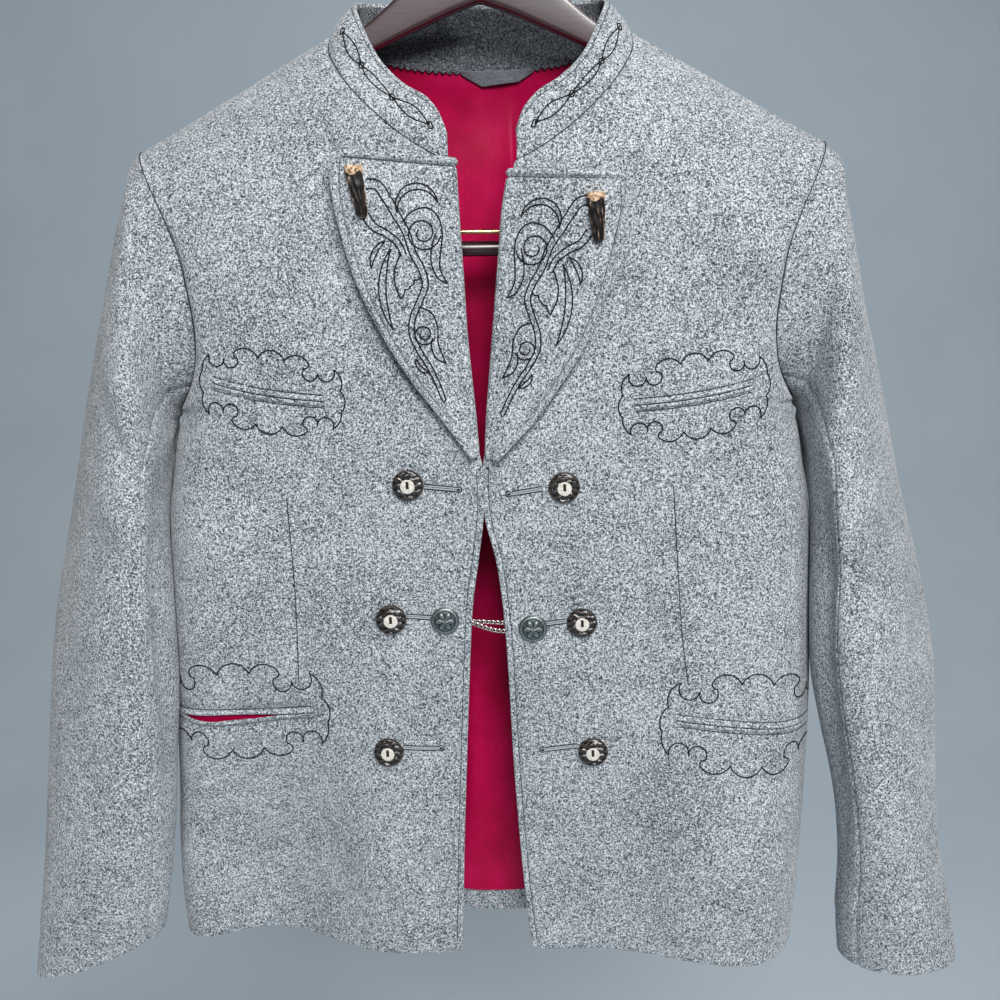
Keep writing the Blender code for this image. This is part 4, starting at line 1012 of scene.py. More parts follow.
def neck_seam(station):
    """Points of the neck seam, from the left front end (0) over the back (9) to the right one (18)."""
    station = np.asarray(station, float)
    side = np.where(station <= COLLAR_STATIONS / 2, LEFT, RIGHT)
    near = np.minimum(station, COLLAR_STATIONS - station)
    front_x, front_z = front_neck(FRONT_STATIONS - np.clip(near, 0, FRONT_STATIONS))
    behind = np.clip(near - FRONT_STATIONS, 0, len(BACK_NECK) - 1)
    back_x = through(range(len(BACK_NECK)), [seam.x for seam in BACK_NECK], behind)
    on_front = near <= FRONT_STATIONS
    x = side * np.where(on_front, front_x, back_x)
    z = np.where(on_front, front_z, back_neck_z(np.minimum(back_x, NECK_HALF_WIDTH)))
    front_y, back_y = np.minimum(cloth_y(FRONT, x, z), -SEAM_GAP), np.maximum(cloth_y(BACK, x, z), SEAM_GAP)
    return np.stack([x, np.where(on_front, front_y, back_y), z], axis=-1)


def collar_top(station):
    """Points of the collar's top edge."""
    tops = [(-top.x, top.y, top.z) for top in COLLAR_TOP]
    tops += [(top.x, top.y, top.z) for top in COLLAR_TOP[-2::-1]]
    return through(range(COLLAR_STATIONS + 1), tops, station)


def collar_point(station, rise):
    """Collar points between the neck seam (rise 0) and its top edge (rise 1), a little hollow."""
    low, top = neck_seam(station), collar_top(station)
    up = top - low
    up = up / np.maximum(np.linalg.norm(up, axis=-1, keepdims=True), 1e-9)
    near_end = np.clip(1 - np.minimum(station, COLLAR_STATIONS - station) / 0.5, 0, 1)
    rise = (np.asarray(rise, float) * (1 - 0.24 * near_end**2))[..., None]
    lean = lookup(COLLAR_LEAN, station)[..., None] * np.clip(rise, 0, 1) ** 1.5
    return low + up * COLLAR_SEAM * (1 - rise) + (top - low) * rise + lean * np.array([0, -1.0, 0])


between = np.linspace(0.55, COLLAR_STATIONS - 0.55, 190)
collar_stations = np.concatenate([COLLAR_END_COLUMNS, between, COLLAR_STATIONS - COLLAR_END_COLUMNS[::-1]])
rise, station = np.meshgrid(COLLAR_ROWS, collar_stations, indexing="ij")
collar_base = collar_point(station, rise)
collar_out = outward_normals(collar_base, (0, 1, 0))
from_end = np.minimum(station, COLLAR_STATIONS - station) * STATION_LENGTH
from_edge = np.minimum((1 - rise) * COLLAR_HEIGHT, from_end)
push = COLLAR_BELLY * np.sin(math.pi * rise)
push -= COLLAR_GROOVE * hump(from_edge - COLLAR_STITCH_IN, GROOVE_WIDTH)
push += COLLAR_WAVE * np.sin(station * 2.3 + 0.6) * rise**2 * smoothstep((from_end - 5) / 30)
push -= SEAM_DIP * hump(rise * COLLAR_HEIGHT, SEAM_WIDTH)
collar_skin = collar_base + collar_out * push[..., None]
collar_inner = collar_skin - collar_out * COLLAR_CLOTH
collar = panel("collar_cloth", collar_skin, collar_inner, [loden])
place_piece(collar, "grey_loden", "collar")

# Needled felt: short dark grey fibres with no weave, so it looks soft and even
felt_greys = [(0.0, "#2b2f33"), (0.4, "#50555b"), (0.7, "#6c7177"), (1.0, "#93989e")]
felt = woollen("dark_grey_felt", felt_greys, sheen=0.15)
FELT = 1.3
FELT_GAP = 0.3
FELT_FOOT = -0.09
FELT_HEAD = 0.94
FELT_FOOT_LIFT = 1.6
FELT_ROWS = 9
FELT_COLUMNS = 1093
PINK_PITCH = 5.0
PINK_DEPTH = 1.8


def run_along(points):
    """Distance along a line of points, at each of them."""
    return np.concatenate([[0], np.cumsum(np.linalg.norm(np.diff(points, axis=0), axis=1))])


station = np.linspace(0.5, COLLAR_STATIONS - 0.5, FELT_COLUMNS)
run = run_along(collar_point(station, np.full_like(station, 0.1)))
scallop = np.abs(np.sin(math.pi * run / PINK_PITCH)) * PINK_DEPTH / COLLAR_HEIGHT
share = np.linspace(0, 1, FELT_ROWS)[:, None]
rise = (FELT_FOOT - scallop)[None, :] * (1 - share) + FELT_HEAD * share
rise, station = np.broadcast_arrays(rise, station[None, :])
base = collar_point(station, rise)
out = outward_normals(base, (0, 1, 0))
depth = COLLAR_CLOTH + FELT_GAP - COLLAR_BELLY * np.sin(math.pi * np.clip(rise, 0, 1))
depth = depth + FELT_FOOT_LIFT * (1 - smoothstep(share / 0.35))
outer = base - out * depth[..., None]
made = panel("collar_felt_band", outer, outer - out * FELT, [felt])
place_piece(made, "grey_felt", "collar_felt")


# --- Back lining -------------------------------------------------------------------------------------
# Crimson satin over the inside of the back, cut wider than the loden and laid in a pleat down the
# middle that opens as the shoulders move. It ends a finger above the hem.

LINING = 0.9
LINING_FIRST_ROW = 0.4
LINING_HEM_RISE = 12.0
LINING_ROWS_PER_STEP = 5
LINING_COLUMNS = 320
LINING_OFF = 0.8
LINING_SLACK = 2.4
PLEAT_X = 22.0
PLEAT_DEPTH = 6.5
PLEAT_EDGE = 0.9
PLEAT_RETURN = 28.0
Ripple = namedtuple("Ripple", "x lean width depth")
RIPPLES = [
    Ripple(-34, 0.03, 11, 3.6),
    Ripple(-16, -0.02, 7, -1.8),
    Ripple(24, 0.02, 9, 3.2),
    Ripple(44, -0.03, 13, -2.0),
    Ripple(-66, 0.04, 15, 3.0),
    Ripple(78, -0.04, 16, 3.4),
    Ripple(-110, 0.05, 20, -2.2),
    Ripple(118, -0.05, 20, 2.6),
]


def lining_lift(x, z):
    """How far the satin stands forward of the back: its pleat, then ripples that lean as they fall."""
    fall = (NECK_RIDGE_Z - z) / (NECK_RIDGE_Z - HEM_Z)
    fade = 1 - 0.75 * smoothstep((fall - 0.15) / 0.7)
    pleat = 1 / (1 + np.exp((x - PLEAT_X - 8 * fall) / PLEAT_EDGE))
    lift = PLEAT_DEPTH * fade * pleat * np.exp(-np.maximum(0, PLEAT_X - x) / PLEAT_RETURN)
    for ripple in RIPPLES:
        middle = ripple.x + ripple.lean * (NECK_RIDGE_Z - z)
        wave = 0.6 + 0.4 * np.sin(z / 47 + ripple.x)
        lift = lift + ripple.depth * wave * hump(x - middle, ripple.width)
    return lift * smoothstep((fall - 0.04) / 0.09)


skin, from_side = back_surface(LINING_ROWS_PER_STEP, BORDER_COLUMNS[4:], LINING_COLUMNS)
out = outward_normals(skin, (0, 1, 0))
keep = slice(int(LINING_FIRST_ROW * LINING_ROWS_PER_STEP), skin.shape[0] - 1)
skin, out, from_side = skin[keep, 1:-1], out[keep, 1:-1], from_side[keep, 1:-1]
skin[-1, :, 2] += LINING_HEM_RISE
skin[-2, :, 2] = (skin[-3, :, 2] + skin[-1, :, 2]) / 2
lift = lining_lift(skin[:, :, 0], skin[:, :, 2]) * smoothstep((from_side - 15) / 50)
fall = NECK_RIDGE_Z - skin[:, :, 2]
depth = LODEN + LINING_OFF + np.maximum(lift, -0.2) + LINING_SLACK * smoothstep((fall - 4) / 26)
back_of_lining = skin - out * depth[..., None]
made = panel("back_lining_satin", back_of_lining, back_of_lining - out * LINING, [satin])
place_piece(made, "crimson_satin", "lining_back")


# --- Neck label --------------------------------------------------------------------------------------
# A blank tab of tightly woven dark grey tape, ribbed across, whose ends are folded under at a slant. It
# is sewn to the lining below the collar seam.

LABEL_CORNERS = [(-15.0, -151.0), (0.0, -159.0), (26.0, -156.5), (37.0, -150.0)]
LABEL_TOP_Z = -149.5
LABEL_THICKNESS = 0.9
LABEL_GAP = 8.2
LABEL_CURL = 1.2

tape = grained(
    "woven_grey_tape", {"Roughness": 0.7, "Sheen Weight": 0.1}, {"Scale": 1800.0, "Detail": 1.0},
    [(0.3, "#5c5f68"), (0.7, "#83868f")], stretch=(0.15, 1, 1), bump=(0.0003, 0.5),
)

xs = np.linspace(LABEL_CORNERS[0][0], LABEL_CORNERS[-1][0], 40)
down = np.linspace(0, 1, 10)[:, None]
z = LABEL_TOP_Z + (lookup(LABEL_CORNERS, xs) - LABEL_TOP_Z - 0.4)[None, :] * down
x = np.broadcast_to(xs, z.shape)
y = cloth_y(BACK, x, z) - LABEL_GAP - LABEL_CURL * down * np.sin(xs / 9.0)[None, :]
outer = np.stack([x, y, z], axis=2)
made = panel("neck_label_tape", outer, outer + np.array([0, -LABEL_THICKNESS, 0]), [tape])
place_piece(made, "woven_tape", "neck_label")


# --- Lapels ------------------------------------------------------------------------------------------
# The tops of the facings, rolled back over the fronts and stitched all round a few millimetres inside
# the edge, which puffs a little. Each curls round the front's own edge at the roll line.

Lapel = namedtuple("Lapel", "roll_x roll_z edge_x edge_z")
LAPELS = {
    LEFT: [
        Lapel(-16.8, -215.5, -92, -208.5),
        Lapel(-16.6, -221, -98.4, -214),
        Lapel(-15.8, -243, -97, -237),
        Lapel(-14.6, -268, -91.5, -265),
        Lapel(-13.2, -298, -82, -297),
        Lapel(-11.8, -328, -67.5, -328),
        Lapel(-9.5, -357, -49.5, -358),
        Lapel(-7.2, -384, -29.5, -385),
        Lapel(-5.4, -411, -10.4, -410.5),
    ],
    RIGHT: [
        Lapel(16.4, -222.5, 89.5, -225.0),
        Lapel(15.2, -228.5, 95.8, -231),
        Lapel(11.8, -248, 93.6, -251),
        Lapel(9.6, -272, 87.8, -276),
        Lapel(7.0, -300, 79, -305),
        Lapel(4.4, -328, 67, -334),
        Lapel(1.6, -357, 50, -361),
        Lapel(-0.8, -384, 30.5, -388),
        Lapel(-2.2, -412, 6.4, -413),
    ],
}
LAPEL_BELLY = 2.0
LAPEL_EDGE_LIFT = 6.2
LAPEL_GAP = 0.3
ROLL_RADIUS = 3.6
FACING_TURN = 7.0
CORNER_ROUND = 9.0
LAPEL_STITCH_IN = 4.6
LAPEL_GROOVE = 1.35
EDGE_PUFF = 1.1
EDGE_PUFF_IN = 2.2
LAPEL_COLUMNS = 22
ROLL_COLUMNS = 13
LAPEL_ROWS = 50
EDGE_STEPS = [0, 1.1, 2.2, 3.2, 3.9, 4.6, 5.3, 6.2, 8, 11]


def front_depth(x, z):
    """Depth of a front's outer side, creases and all, away from its seams."""
    side = LEFT if np.mean(x) < 0 else RIGHT
    return cloth_y(FRONT, x, z) - front_push(side, x, z)


def lapel_grid(side):
    """Outer points of a lapel, from behind the front's edge round the roll to its outer edge."""
    table = LAPELS[side]
    roll_z = np.array([row.roll_z for row in table])
    rest = np.linspace(EDGE_STEPS[-1] + 3.5, roll_z[0] - roll_z[-1], LAPEL_ROWS)
    z = roll_z[0] - np.concatenate([EDGE_STEPS, rest])
    v = np.interp(-z, -roll_z, range(len(table)))
    keys = range(len(table))
    at = {name: through(keys, [getattr(row, name) for row in table], v) for name in Lapel._fields}
    length = np.hypot(at["edge_x"] - at["roll_x"], at["edge_z"] - at["roll_z"])
    radius = np.minimum(ROLL_RADIUS, 0.42 * length)
    turn = np.radians(np.linspace(-90, 90, ROLL_COLUMNS))
    behind = FACING_TURN * np.minimum(1, length / 20)
    lines = [radius + behind, radius + behind / 2] + [radius * (1 - np.cos(a)) for a in turn]
    depths = [-radius, -radius] + [radius * np.sin(a) for a in turn]
    inner = radius + (length - radius - EDGE_STEPS[-1]) * np.linspace(0.04, 1, LAPEL_COLUMNS)[:, None]
    flat = np.concatenate([inner, length - np.array(EDGE_STEPS[-2::-1])[:, None]])
    short = length < 2.2 * EDGE_STEPS[-1]
    even = radius + (length - radius) * np.linspace(0.03, 1, len(flat))[:, None]
    flat = np.where(short[None, :], even, flat)
    s = (flat - radius) / (length - radius)
    lift = LAPEL_BELLY * np.sin(math.pi * s) * np.minimum(1, length / 30) + LAPEL_EDGE_LIFT * s + LAPEL_GAP
    distance = np.concatenate([np.stack(lines), flat]).T
    depth = np.concatenate([np.stack(depths), lift + 1.5 * LODEN]).T
    along_x = ((at["edge_x"] - at["roll_x"]) / length)[:, None]
    along_z = ((at["edge_z"] - at["roll_z"]) / length)[:, None]
    x = at["roll_x"][:, None] + along_x * distance
    z = at["roll_z"][:, None] + along_z * distance
    y = front_depth(x, z) + LODEN / 2 - depth
    from_edge = length[:, None] - distance
    share = np.clip(distance / length[:, None], 0, 1)
    from_top = table[0].roll_z + (table[0].edge_z - table[0].roll_z) * share - z
    return np.stack([x, y, z], axis=2), from_edge, from_top


lapel_skins = {}
for side in (LEFT, RIGHT):
    grid, from_edge, from_top = lapel_grid(side)
    out = outward_normals(grid, (0, -1, 0))
    near = np.minimum(from_edge, from_top)
    corner = np.hypot(np.maximum(0, CORNER_ROUND - from_edge), np.maximum(0, CORNER_ROUND - from_top))
    near = np.where((from_edge < CORNER_ROUND) & (from_top < CORNER_ROUND), CORNER_ROUND - corner, near)
    push = EDGE_PUFF * hump(near - EDGE_PUFF_IN, 1.4)
    push -= LAPEL_GROOVE * hump(near - LAPEL_STITCH_IN, 0.85)
    grid = grid + out * push[..., None]
    made = panel(f"lapel_{WORDS[side]}_cloth", grid, grid - out * LODEN, [loden])
    place_piece(made, "grey_loden", f"lapel_{WORDS[side]}")
    lapel_skins[side] = grid


# --- Pockets -----------------------------------------------------------------------------------------
# Jetted pockets: two narrow welts of folded loden meet along each mouth. The left hip pocket sags open
# and shows its crimson lining. Behind the closed mouths, a near-black strip is painted shade in the slit.

WELT_HEIGHT = 3.0
WELT_RISE = 1.5
WELT_REACH = 9.0
WELT_THICKNESS = 1.2
WELT_ROWS = 9
SLIT_HALF_WIDTH = 0.8
WELT_COLUMNS = 70
DITCH_OFF = 0.7
RAY_START_Y = -400.0


def grown_tree(grids):
    """A search tree over the outer sides of some cloth, to lay sewing on."""
    points, faces = [], []
    for grid in grids:
        faces += quads(*grid.shape[:2], base=len(points))
        points += grid.reshape(-1, 3).tolist()
    return BVHTree.FromPolygons(points, faces)


def laid(tree, flat_points):
    """Points and outward normals of the cloth in front of places (x, z) seen from the front."""
    points, out = [], []
    for x, z in flat_points:
        hit, normal, _, _ = tree.ray_cast(Vector((x, RAY_START_Y, z)), Vector((0, 1, 0)))
        if hit is not None:
            points.append(hit)
            out.append(normal if normal.y < 0 else -normal)
    return np.array(points), np.array(out)


front_tree = grown_tree(front_skins.values())
# A near-black strip behind the closed pocket mouths: painted shade inside the slit
slit_shade_cloth = grained(
    "black_pocketing_cotton", {"Roughness": 0.9}, {"Scale": 1600.0, "Detail": 1.0},
    [(0.3, "#0e1012"), (0.7, "#1d2124")],
)

# Lines along the ditches beside the welts, drawn later as dark painted seam shade
ditch_shade_lines = []
for pocket in POCKETS:
    share = np.linspace(0, 1, WELT_COLUMNS)
    x = pocket.inner_x + (pocket.outer_x - pocket.inner_x) * share
    z = pocket.inner_z + (pocket.outer_z - pocket.inner_z) * share - pocket.sag * np.sin(np.pi * share)
    around = [laid(front_tree, np.stack([x, z + up], axis=1))[0][:, 1] for up in (-WELT_REACH, WELT_REACH)]
    base = np.mean(around, axis=0)
    half = np.maximum(SLIT_HALF_WIDTH, pocket.gape / 2 * np.sin(np.pi * share**1.7))
    where, name = pocket.name.split("_")
    length = abs(pocket.outer_x - pocket.inner_x) * MM
    for word, sign in (("upper", 1), ("lower", -1)):
        lines = []
        for across in np.linspace(0, 1, WELT_ROWS):
            rise = WELT_RISE * math.sin(math.pi * (0.25 + 0.75 * across)) - 0.5 * across
            lines.append(np.stack([x, base - rise, z + sign * (half + WELT_HEIGHT * across)], axis=1))
        outer = np.stack(lines)
        made = panel(f"{where}_welt_{word}_{name}", outer, outer + np.array([0, WELT_THICKNESS, 0]), [loden])
        place_piece(made, "grey_loden", f"{where}_jet_{word}_{name}")
        ditch_shade_lines.append(np.stack([x, z + sign * (half + WELT_HEIGHT + DITCH_OFF)], axis=1))
    gap = [-0.95, -0.3, 0.3, 0.95]
    # The open hip pocket shows its real crimson lining; the closed ones get the strip of painted slit shade
    lining, behind = (satin, 3.0) if pocket.gape > 1 else (slit_shade_cloth, 0.9)
    outer = np.stack([np.stack([x, base + behind, z + (half + 1.4) * up], axis=1)[2:-2] for up in gap])
    made = panel(f"{where}_pocket_lining_{name}", outer, outer + np.array([0, 0.5, 0]), [lining])
    if pocket.gape > 1:
        place_piece(made, "crimson_satin", f"pocket_lining_{name}")
    else:
        place_piece(made, "grey_loden")


# --- Sewing ------------------------------------------------------------------------------------------
# Near-black cotton embroidery outlines the pockets, scrolls over the lapels and runs round the collar
# as a chain of interlaced loops. It's stitched with a round thread, a stitch every two or three
# millimetres. Grey thread, drawn darker than the cloth as painted shade of its grooves, holds the edges.
# The darts and other seams carry dark lines that are painted shade of their valleys.

THREAD_RADIUS = 0.54
STITCH_LENGTH = 2.6
STITCH_NECKING = 0.3
THREAD_SINK = 0.35
THREAD_SIDES = 6
STEP = 0.8
SEAM_SHADE_RADIUS = 0.36
EDGE_THREAD_RADIUS = 0.36
EDGE_THREAD_SINK = 0.45
SEAM_SHADE_SINK = 0.4
COLLAR_THREAD_SHARE = 0.9


def thread_look(name, dark, light):
    """Twisted cotton: fine plies that break the colour, slightly glossy."""
    sockets, plies = {"Roughness": 0.7, "Specular IOR Level": 0.3}, {"Scale": 2200.0, "Detail": 1.0}
    return grained(name, sockets, plies, [(0.3, dark), (0.7, light)], bump=(0.0002, 0.5))


# Near-black cotton for the embroidery and the buttonhole bars; the same look is painted shade in the
# buttonhole eyes
embroidery_and_hole_shade_black = thread_look("black_cotton_thread", "#040506", "#101417")
# Edge thread, darker than the cloth: painted shade of the stitched grooves
edge_groove_shade_thread = thread_look("grey_cotton_thread", "#363d43", "#5c656d")
# Dark grey for the lines on seams: painted shade of the seam valleys
seam_shade_look = thread_look("dark_grey_cotton_thread", "#1f2427", "#3b4247")
pale_thread = thread_look("pale_grey_cotton_thread", "#8f979e", "#bcc3c9")


def evenly(points, step=STEP):
    """A smooth curve through a few places, with points a step apart."""
    points = np.array(points, float)
    keys = run_along(points)
    fine = through(keys, points, np.linspace(0, keys[-1], 40 * len(points)))
    run = run_along(fine)
    at = np.linspace(0, run[-1], max(3, int(run[-1] / step) + 1))
    return np.stack([np.interp(at, run, column) for column in fine.T], axis=1)


def tubes(name, paths, radius, look, stitch=0.0, sink=THREAD_SINK, sides=THREAD_SIDES):
    """Round threads or wires along paths of (points, normals), joined in one mesh. sink is the share of
    their thickness that lies below the path, and stitch is the length of a stitch, necked at its ends."""
    points, faces, base = [], [], 0
    for path, out in paths:
        if len(path) < 2:
            continue
        along = np.gradient(path, axis=0)
        along /= np.maximum(np.linalg.norm(along, axis=1, keepdims=True), 1e-9)
        across = np.cross(along, out)
        across /= np.maximum(np.linalg.norm(across, axis=1, keepdims=True), 1e-9)
        up = np.cross(across, along)
        fat = np.ones(len(path))
        if stitch:
            swell = np.abs(np.sin(math.pi * run_along(path) / stitch)) ** 0.5
            fat = 1 - STITCH_NECKING + STITCH_NECKING * swell
        centre = path + up * radius * (1 - 2 * sink)
        for k in range(sides):
            angle = 2 * math.pi * k / sides
            spoke = across * math.cos(angle) + up * math.sin(angle)
            points.append(centre + spoke * (radius * fat)[:, None])
        count = len(path)
        for k in range(sides):
            low, high = base + k * count, base + (k + 1) % sides * count
            faces += [(low + i, low + i + 1, high + i + 1, high + i) for i in range(count - 1)]
        for end in (0, count - 1):
            faces.append(tuple(base + k * count + end for k in range(sides)))
        base += sides * count
    return build(name, np.concatenate(points), faces, [look])


def arc(start, end, bulge):
    """Places on a circular arc whose middle stands off its chord by bulge, to the left of the way."""
    start, end = np.array(start, float), np.array(end, float)
    chord = end - start
    length = np.hypot(*chord)
    left = np.array([-chord[1], chord[0]]) / length
    turn = 2 * math.atan2(2 * bulge, length)
    radius = length / 2 / math.sin(turn)
    centre = (start + end) / 2 + left * (bulge - radius)
    count = max(4, int(abs(2 * turn * radius) / STEP))
    spokes = np.linspace(turn, -turn, count)
    onward = (chord / length)[None, :]
    return centre + (left[None, :] * np.cos(spokes)[:, None] - onward * np.sin(spokes)[:, None]) * radius


# Half of a pocket's outline in its own frame: horn, two bowls, scallops, two bowls, horn, short side.
# Each row is the end of an arc and how far the arc stands outwards. The other half is turned about.
Bow = namedtuple("Bow", "x z bulge")
OUTLINE_START = (-45.0, 18.5)
OUTLINE = [
    Bow(-34.2, 18.0, -7.0),
    Bow(-24.8, 19.4, -6.6),
    Bow(-27.6, 23.0, 1.2),
    Bow(-10.8, 21.8, 4.6),
    Bow(7.2, 22.6, 6.2),
    Bow(23.6, 23.2, 4.8),
    Bow(20.8, 19.6, 1.2),
    Bow(30.4, 17.8, -6.8),
    Bow(40.6, 22.0, -7.0),
    Bow(46.8, 8.2, 3.0),
    Bow(49.4, -6.0, 2.8),
    Bow(45.0, -18.5, 1.8),
]
Frame = namedtuple("Frame", "x z along_z wide high")
OUTLINE_FRAMES = [
    Frame(-146.5, -365.2, -0.17, 1.0, 1.0),
    Frame(142.0, -372.5, 0.15, 1.04, 1.03),
    Frame(-185.5, -602.0, 0.0, 1.3, 1.42),
    Frame(187.5, -612.0, -0.05, 1.3, 1.36),
]
SIDE_LIMIT = 238.0

pocket_paths = []
for spot in OUTLINE_FRAMES:
    mirror = -1 if spot.x > 0 else 1
    across = np.array([1, spot.along_z]) / math.hypot(1, spot.along_z)
    up = np.array([-across[1], across[0]])
    for turn in (1, -1):
        start = OUTLINE_START
        for bow in OUTLINE:
            line = arc(start, (bow.x, bow.z), bow.bulge)
            start = (bow.x, bow.z)
            line = line * (spot.wide, spot.high) * turn
            line[:, 0] *= mirror
            line = np.array([spot.x, spot.z]) + line[:, :1] * across + line[:, 1:] * up
            line = line[np.abs(line[:, 0]) < SIDE_LIMIT]
            pocket_paths.append(laid(front_tree, line))
made = tubes("pocket_embroidery", pocket_paths, THREAD_RADIUS, embroidery_and_hole_shade_black, STITCH_LENGTH)
place_piece(made, "grey_loden")

# Lapel scroll, laid out for the left lapel: ribbons, leaves and volutes, drawn by these rules. The right
# lapel's x and z each come from the left one's x, z and a shift
RIGHT_FROM_LEFT = ((-0.968, 0.102, 20.8), (0.061, 1.006, -6.8))
lapel_tree = grown_tree(lapel_skins.values())


def ribbon(points, start_width, end_width):
    """The two edges of a ribbon along a smooth line."""
    line = evenly(points)
    way = np.gradient(line, axis=0)
    way /= np.linalg.norm(way, axis=1, keepdims=True)
    across = np.stack([-way[:, 1], way[:, 0]], axis=1)
    half = np.linspace(start_width, end_width, len(line))[:, None] / 2
    return [line + across * half, line - across * half]


def leaf(base, tip, outer_bulge, inner_bulge):
    """A leaf between two arcs that meet at its tip."""
    return [arc(base, tip, outer_bulge), arc(base, tip, inner_bulge)]


def volute(x, z, first, last, start, turns):
    """A spiral round a place, its radius and its angle in degrees running evenly."""
    angle = np.radians(start) + np.linspace(0, 2 * math.pi * turns, int(40 * abs(turns)))
    radius = np.linspace(first, last, len(angle))
    return [np.stack([x + radius * np.cos(angle), z + radius * np.sin(angle)], axis=1)]


scroll = []
scroll += ribbon([(-75, -230.5), (-68, -231.5), (-62, -240), (-55, -252.5)], 6.2, 5.0)
scroll += ribbon([(-55, -252.5), (-50, -262), (-46.5, -274), (-41, -285), (-38.8, -295), (-43, -306),
                  (-47.5, -316), (-48.6, -326), (-44.5, -337), (-38, -348), (-32.5, -360), (-28.5, -371)],
                 4.6, 2.8)
scroll += [np.array([(-30.0, -371.6), (-28.4, -372.4), (-27.0, -370.6)])]
scroll += ribbon([(-76.4, -250), (-71, -257.5), (-63, -262), (-55.5, -268.5), (-52.2, -276)], 5.2, 3.4)
scroll += leaf((-55.5, -249), (-29.6, -243), 15.5, 11.5)
scroll += [evenly([(-53, -255), (-46, -248.2), (-37, -246), (-29.8, -251), (-27, -262), (-28.4, -275),
                   (-28.8, -285), (-24.4, -294.6)])]
scroll += [evenly([(-24.4, -294.6), (-30.4, -291), (-34.4, -282), (-34.2, -272), (-31.4, -262.5)])]
scroll += volute(-39.6, -262.0, 11.6, 3.2, -8, -1.6)
scroll += leaf((-63.8, -266.5), (-73.4, -283.6), -4.5, -1.2)
scroll += leaf((-60.5, -271.5), (-60.8, -323.6), -8.6, -3.8)
scroll += [evenly([(-54.6, -275.5), (-58.4, -285), (-58.6, -294), (-55.2, -303.8)])]
scroll += [arc((-55.2, -303.8), (-52.2, -297.6), -0.8), arc((-52.2, -297.6), (-48.4, -295.6), -1.2)]
scroll += [arc((-48.4, -295.6), (-46.2, -291.6), -1.0), arc((-46.2, -291.6), (-41.8, -290.4), -0.8)]
scroll += [evenly([(-42.6, -309.5), (-35.6, -313), (-31.6, -322), (-31.4, -333), (-26.6, -346.8)])]
scroll += [evenly([(-26.6, -346.8), (-33, -343), (-35.8, -336), (-35.2, -330)])]
scroll += volute(-40.6, -327.2, 7.4, 2.4, -18, -1.5)
scroll += leaf((-37.6, -352.5), (-46.4, -343.2), 3.6, 0.8)

scroll_paths = [laid(lapel_tree, line) for line in scroll]
for line in scroll:
    turned = [by_x * line[:, 0] + by_z * line[:, 1] + shift for by_x, by_z, shift in RIGHT_FROM_LEFT]
    scroll_paths.append(laid(lapel_tree, np.stack(turned, axis=1)))
made = tubes("lapel_embroidery", scroll_paths, THREAD_RADIUS, embroidery_and_hole_shade_black, STITCH_LENGTH)
place_piece(made, "grey_loden")

# Collar: two waves out of step make the loops, and a small square sits on each crossing
LOOP_PITCH = 32.0
LOOP_HEIGHT = 4.0
LOOPS = 3
SQUARE = 3.1
LOOPS_START = 17.0
LOOPS_RISE = 0.52


def blend(grid, i, j):
    """Places of a grid between its rows i and columns j."""
    row = np.clip(i.astype(int), 0, grid.shape[0] - 2)
    column = np.clip(j.astype(int), 0, grid.shape[1] - 2)
    down, right = (i - row)[:, None], (j - column)[:, None]
    left_end = grid[row, column] * (1 - down) + grid[row + 1, column] * down
    right_end = grid[row, column + 1] * (1 - down) + grid[row + 1, column + 1] * down
    return left_end * (1 - right) + right_end * right


def on_collar(station, rise):
    """Points and outward normals of the collar's outer side."""
    i = np.interp(rise, COLLAR_ROWS, range(len(COLLAR_ROWS)))
    j = np.interp(station, collar_stations, range(len(collar_stations)))
    return blend(collar_skin, i, j), blend(collar_out, i, j)


collar_paths = []
for mirror in (False, True):
    station = np.linspace(0, COLLAR_STATIONS / 2, 600)
    if mirror:
        station = COLLAR_STATIONS - station
    middle, _ = on_collar(station, np.full_like(station, LOOPS_RISE))
    run = run_along(middle)
    at = np.arange(0, LOOPS * LOOP_PITCH + STEP, STEP)
    lines = []
    for sign in (1, -1):
        wave = sign * LOOP_HEIGHT * np.sin(math.pi * at / LOOP_PITCH) * (1 + 0.25 * np.sin(at / 9))
        lines.append((at, wave))
    for node in np.arange(0, LOOPS * LOOP_PITCH + 1, LOOP_PITCH):
        corners = np.array([(1, 0), (0, 1), (-1, 0), (0, -1), (1, 0)]) * SQUARE
        for first, second in zip(corners, corners[1:]):
            along, up = np.linspace(first, second, 5).T
            lines.append((node + along, up))
    for along, up in lines:
        place = np.interp(along + LOOPS_START, run, station)
        collar_paths.append(on_collar(place, LOOPS_RISE + up / COLLAR_HEIGHT))
thin = THREAD_RADIUS * COLLAR_THREAD_SHARE
made = tubes("collar_embroidery", collar_paths, thin, embroidery_and_hole_shade_black, STITCH_LENGTH)
place_piece(made, "grey_loden")

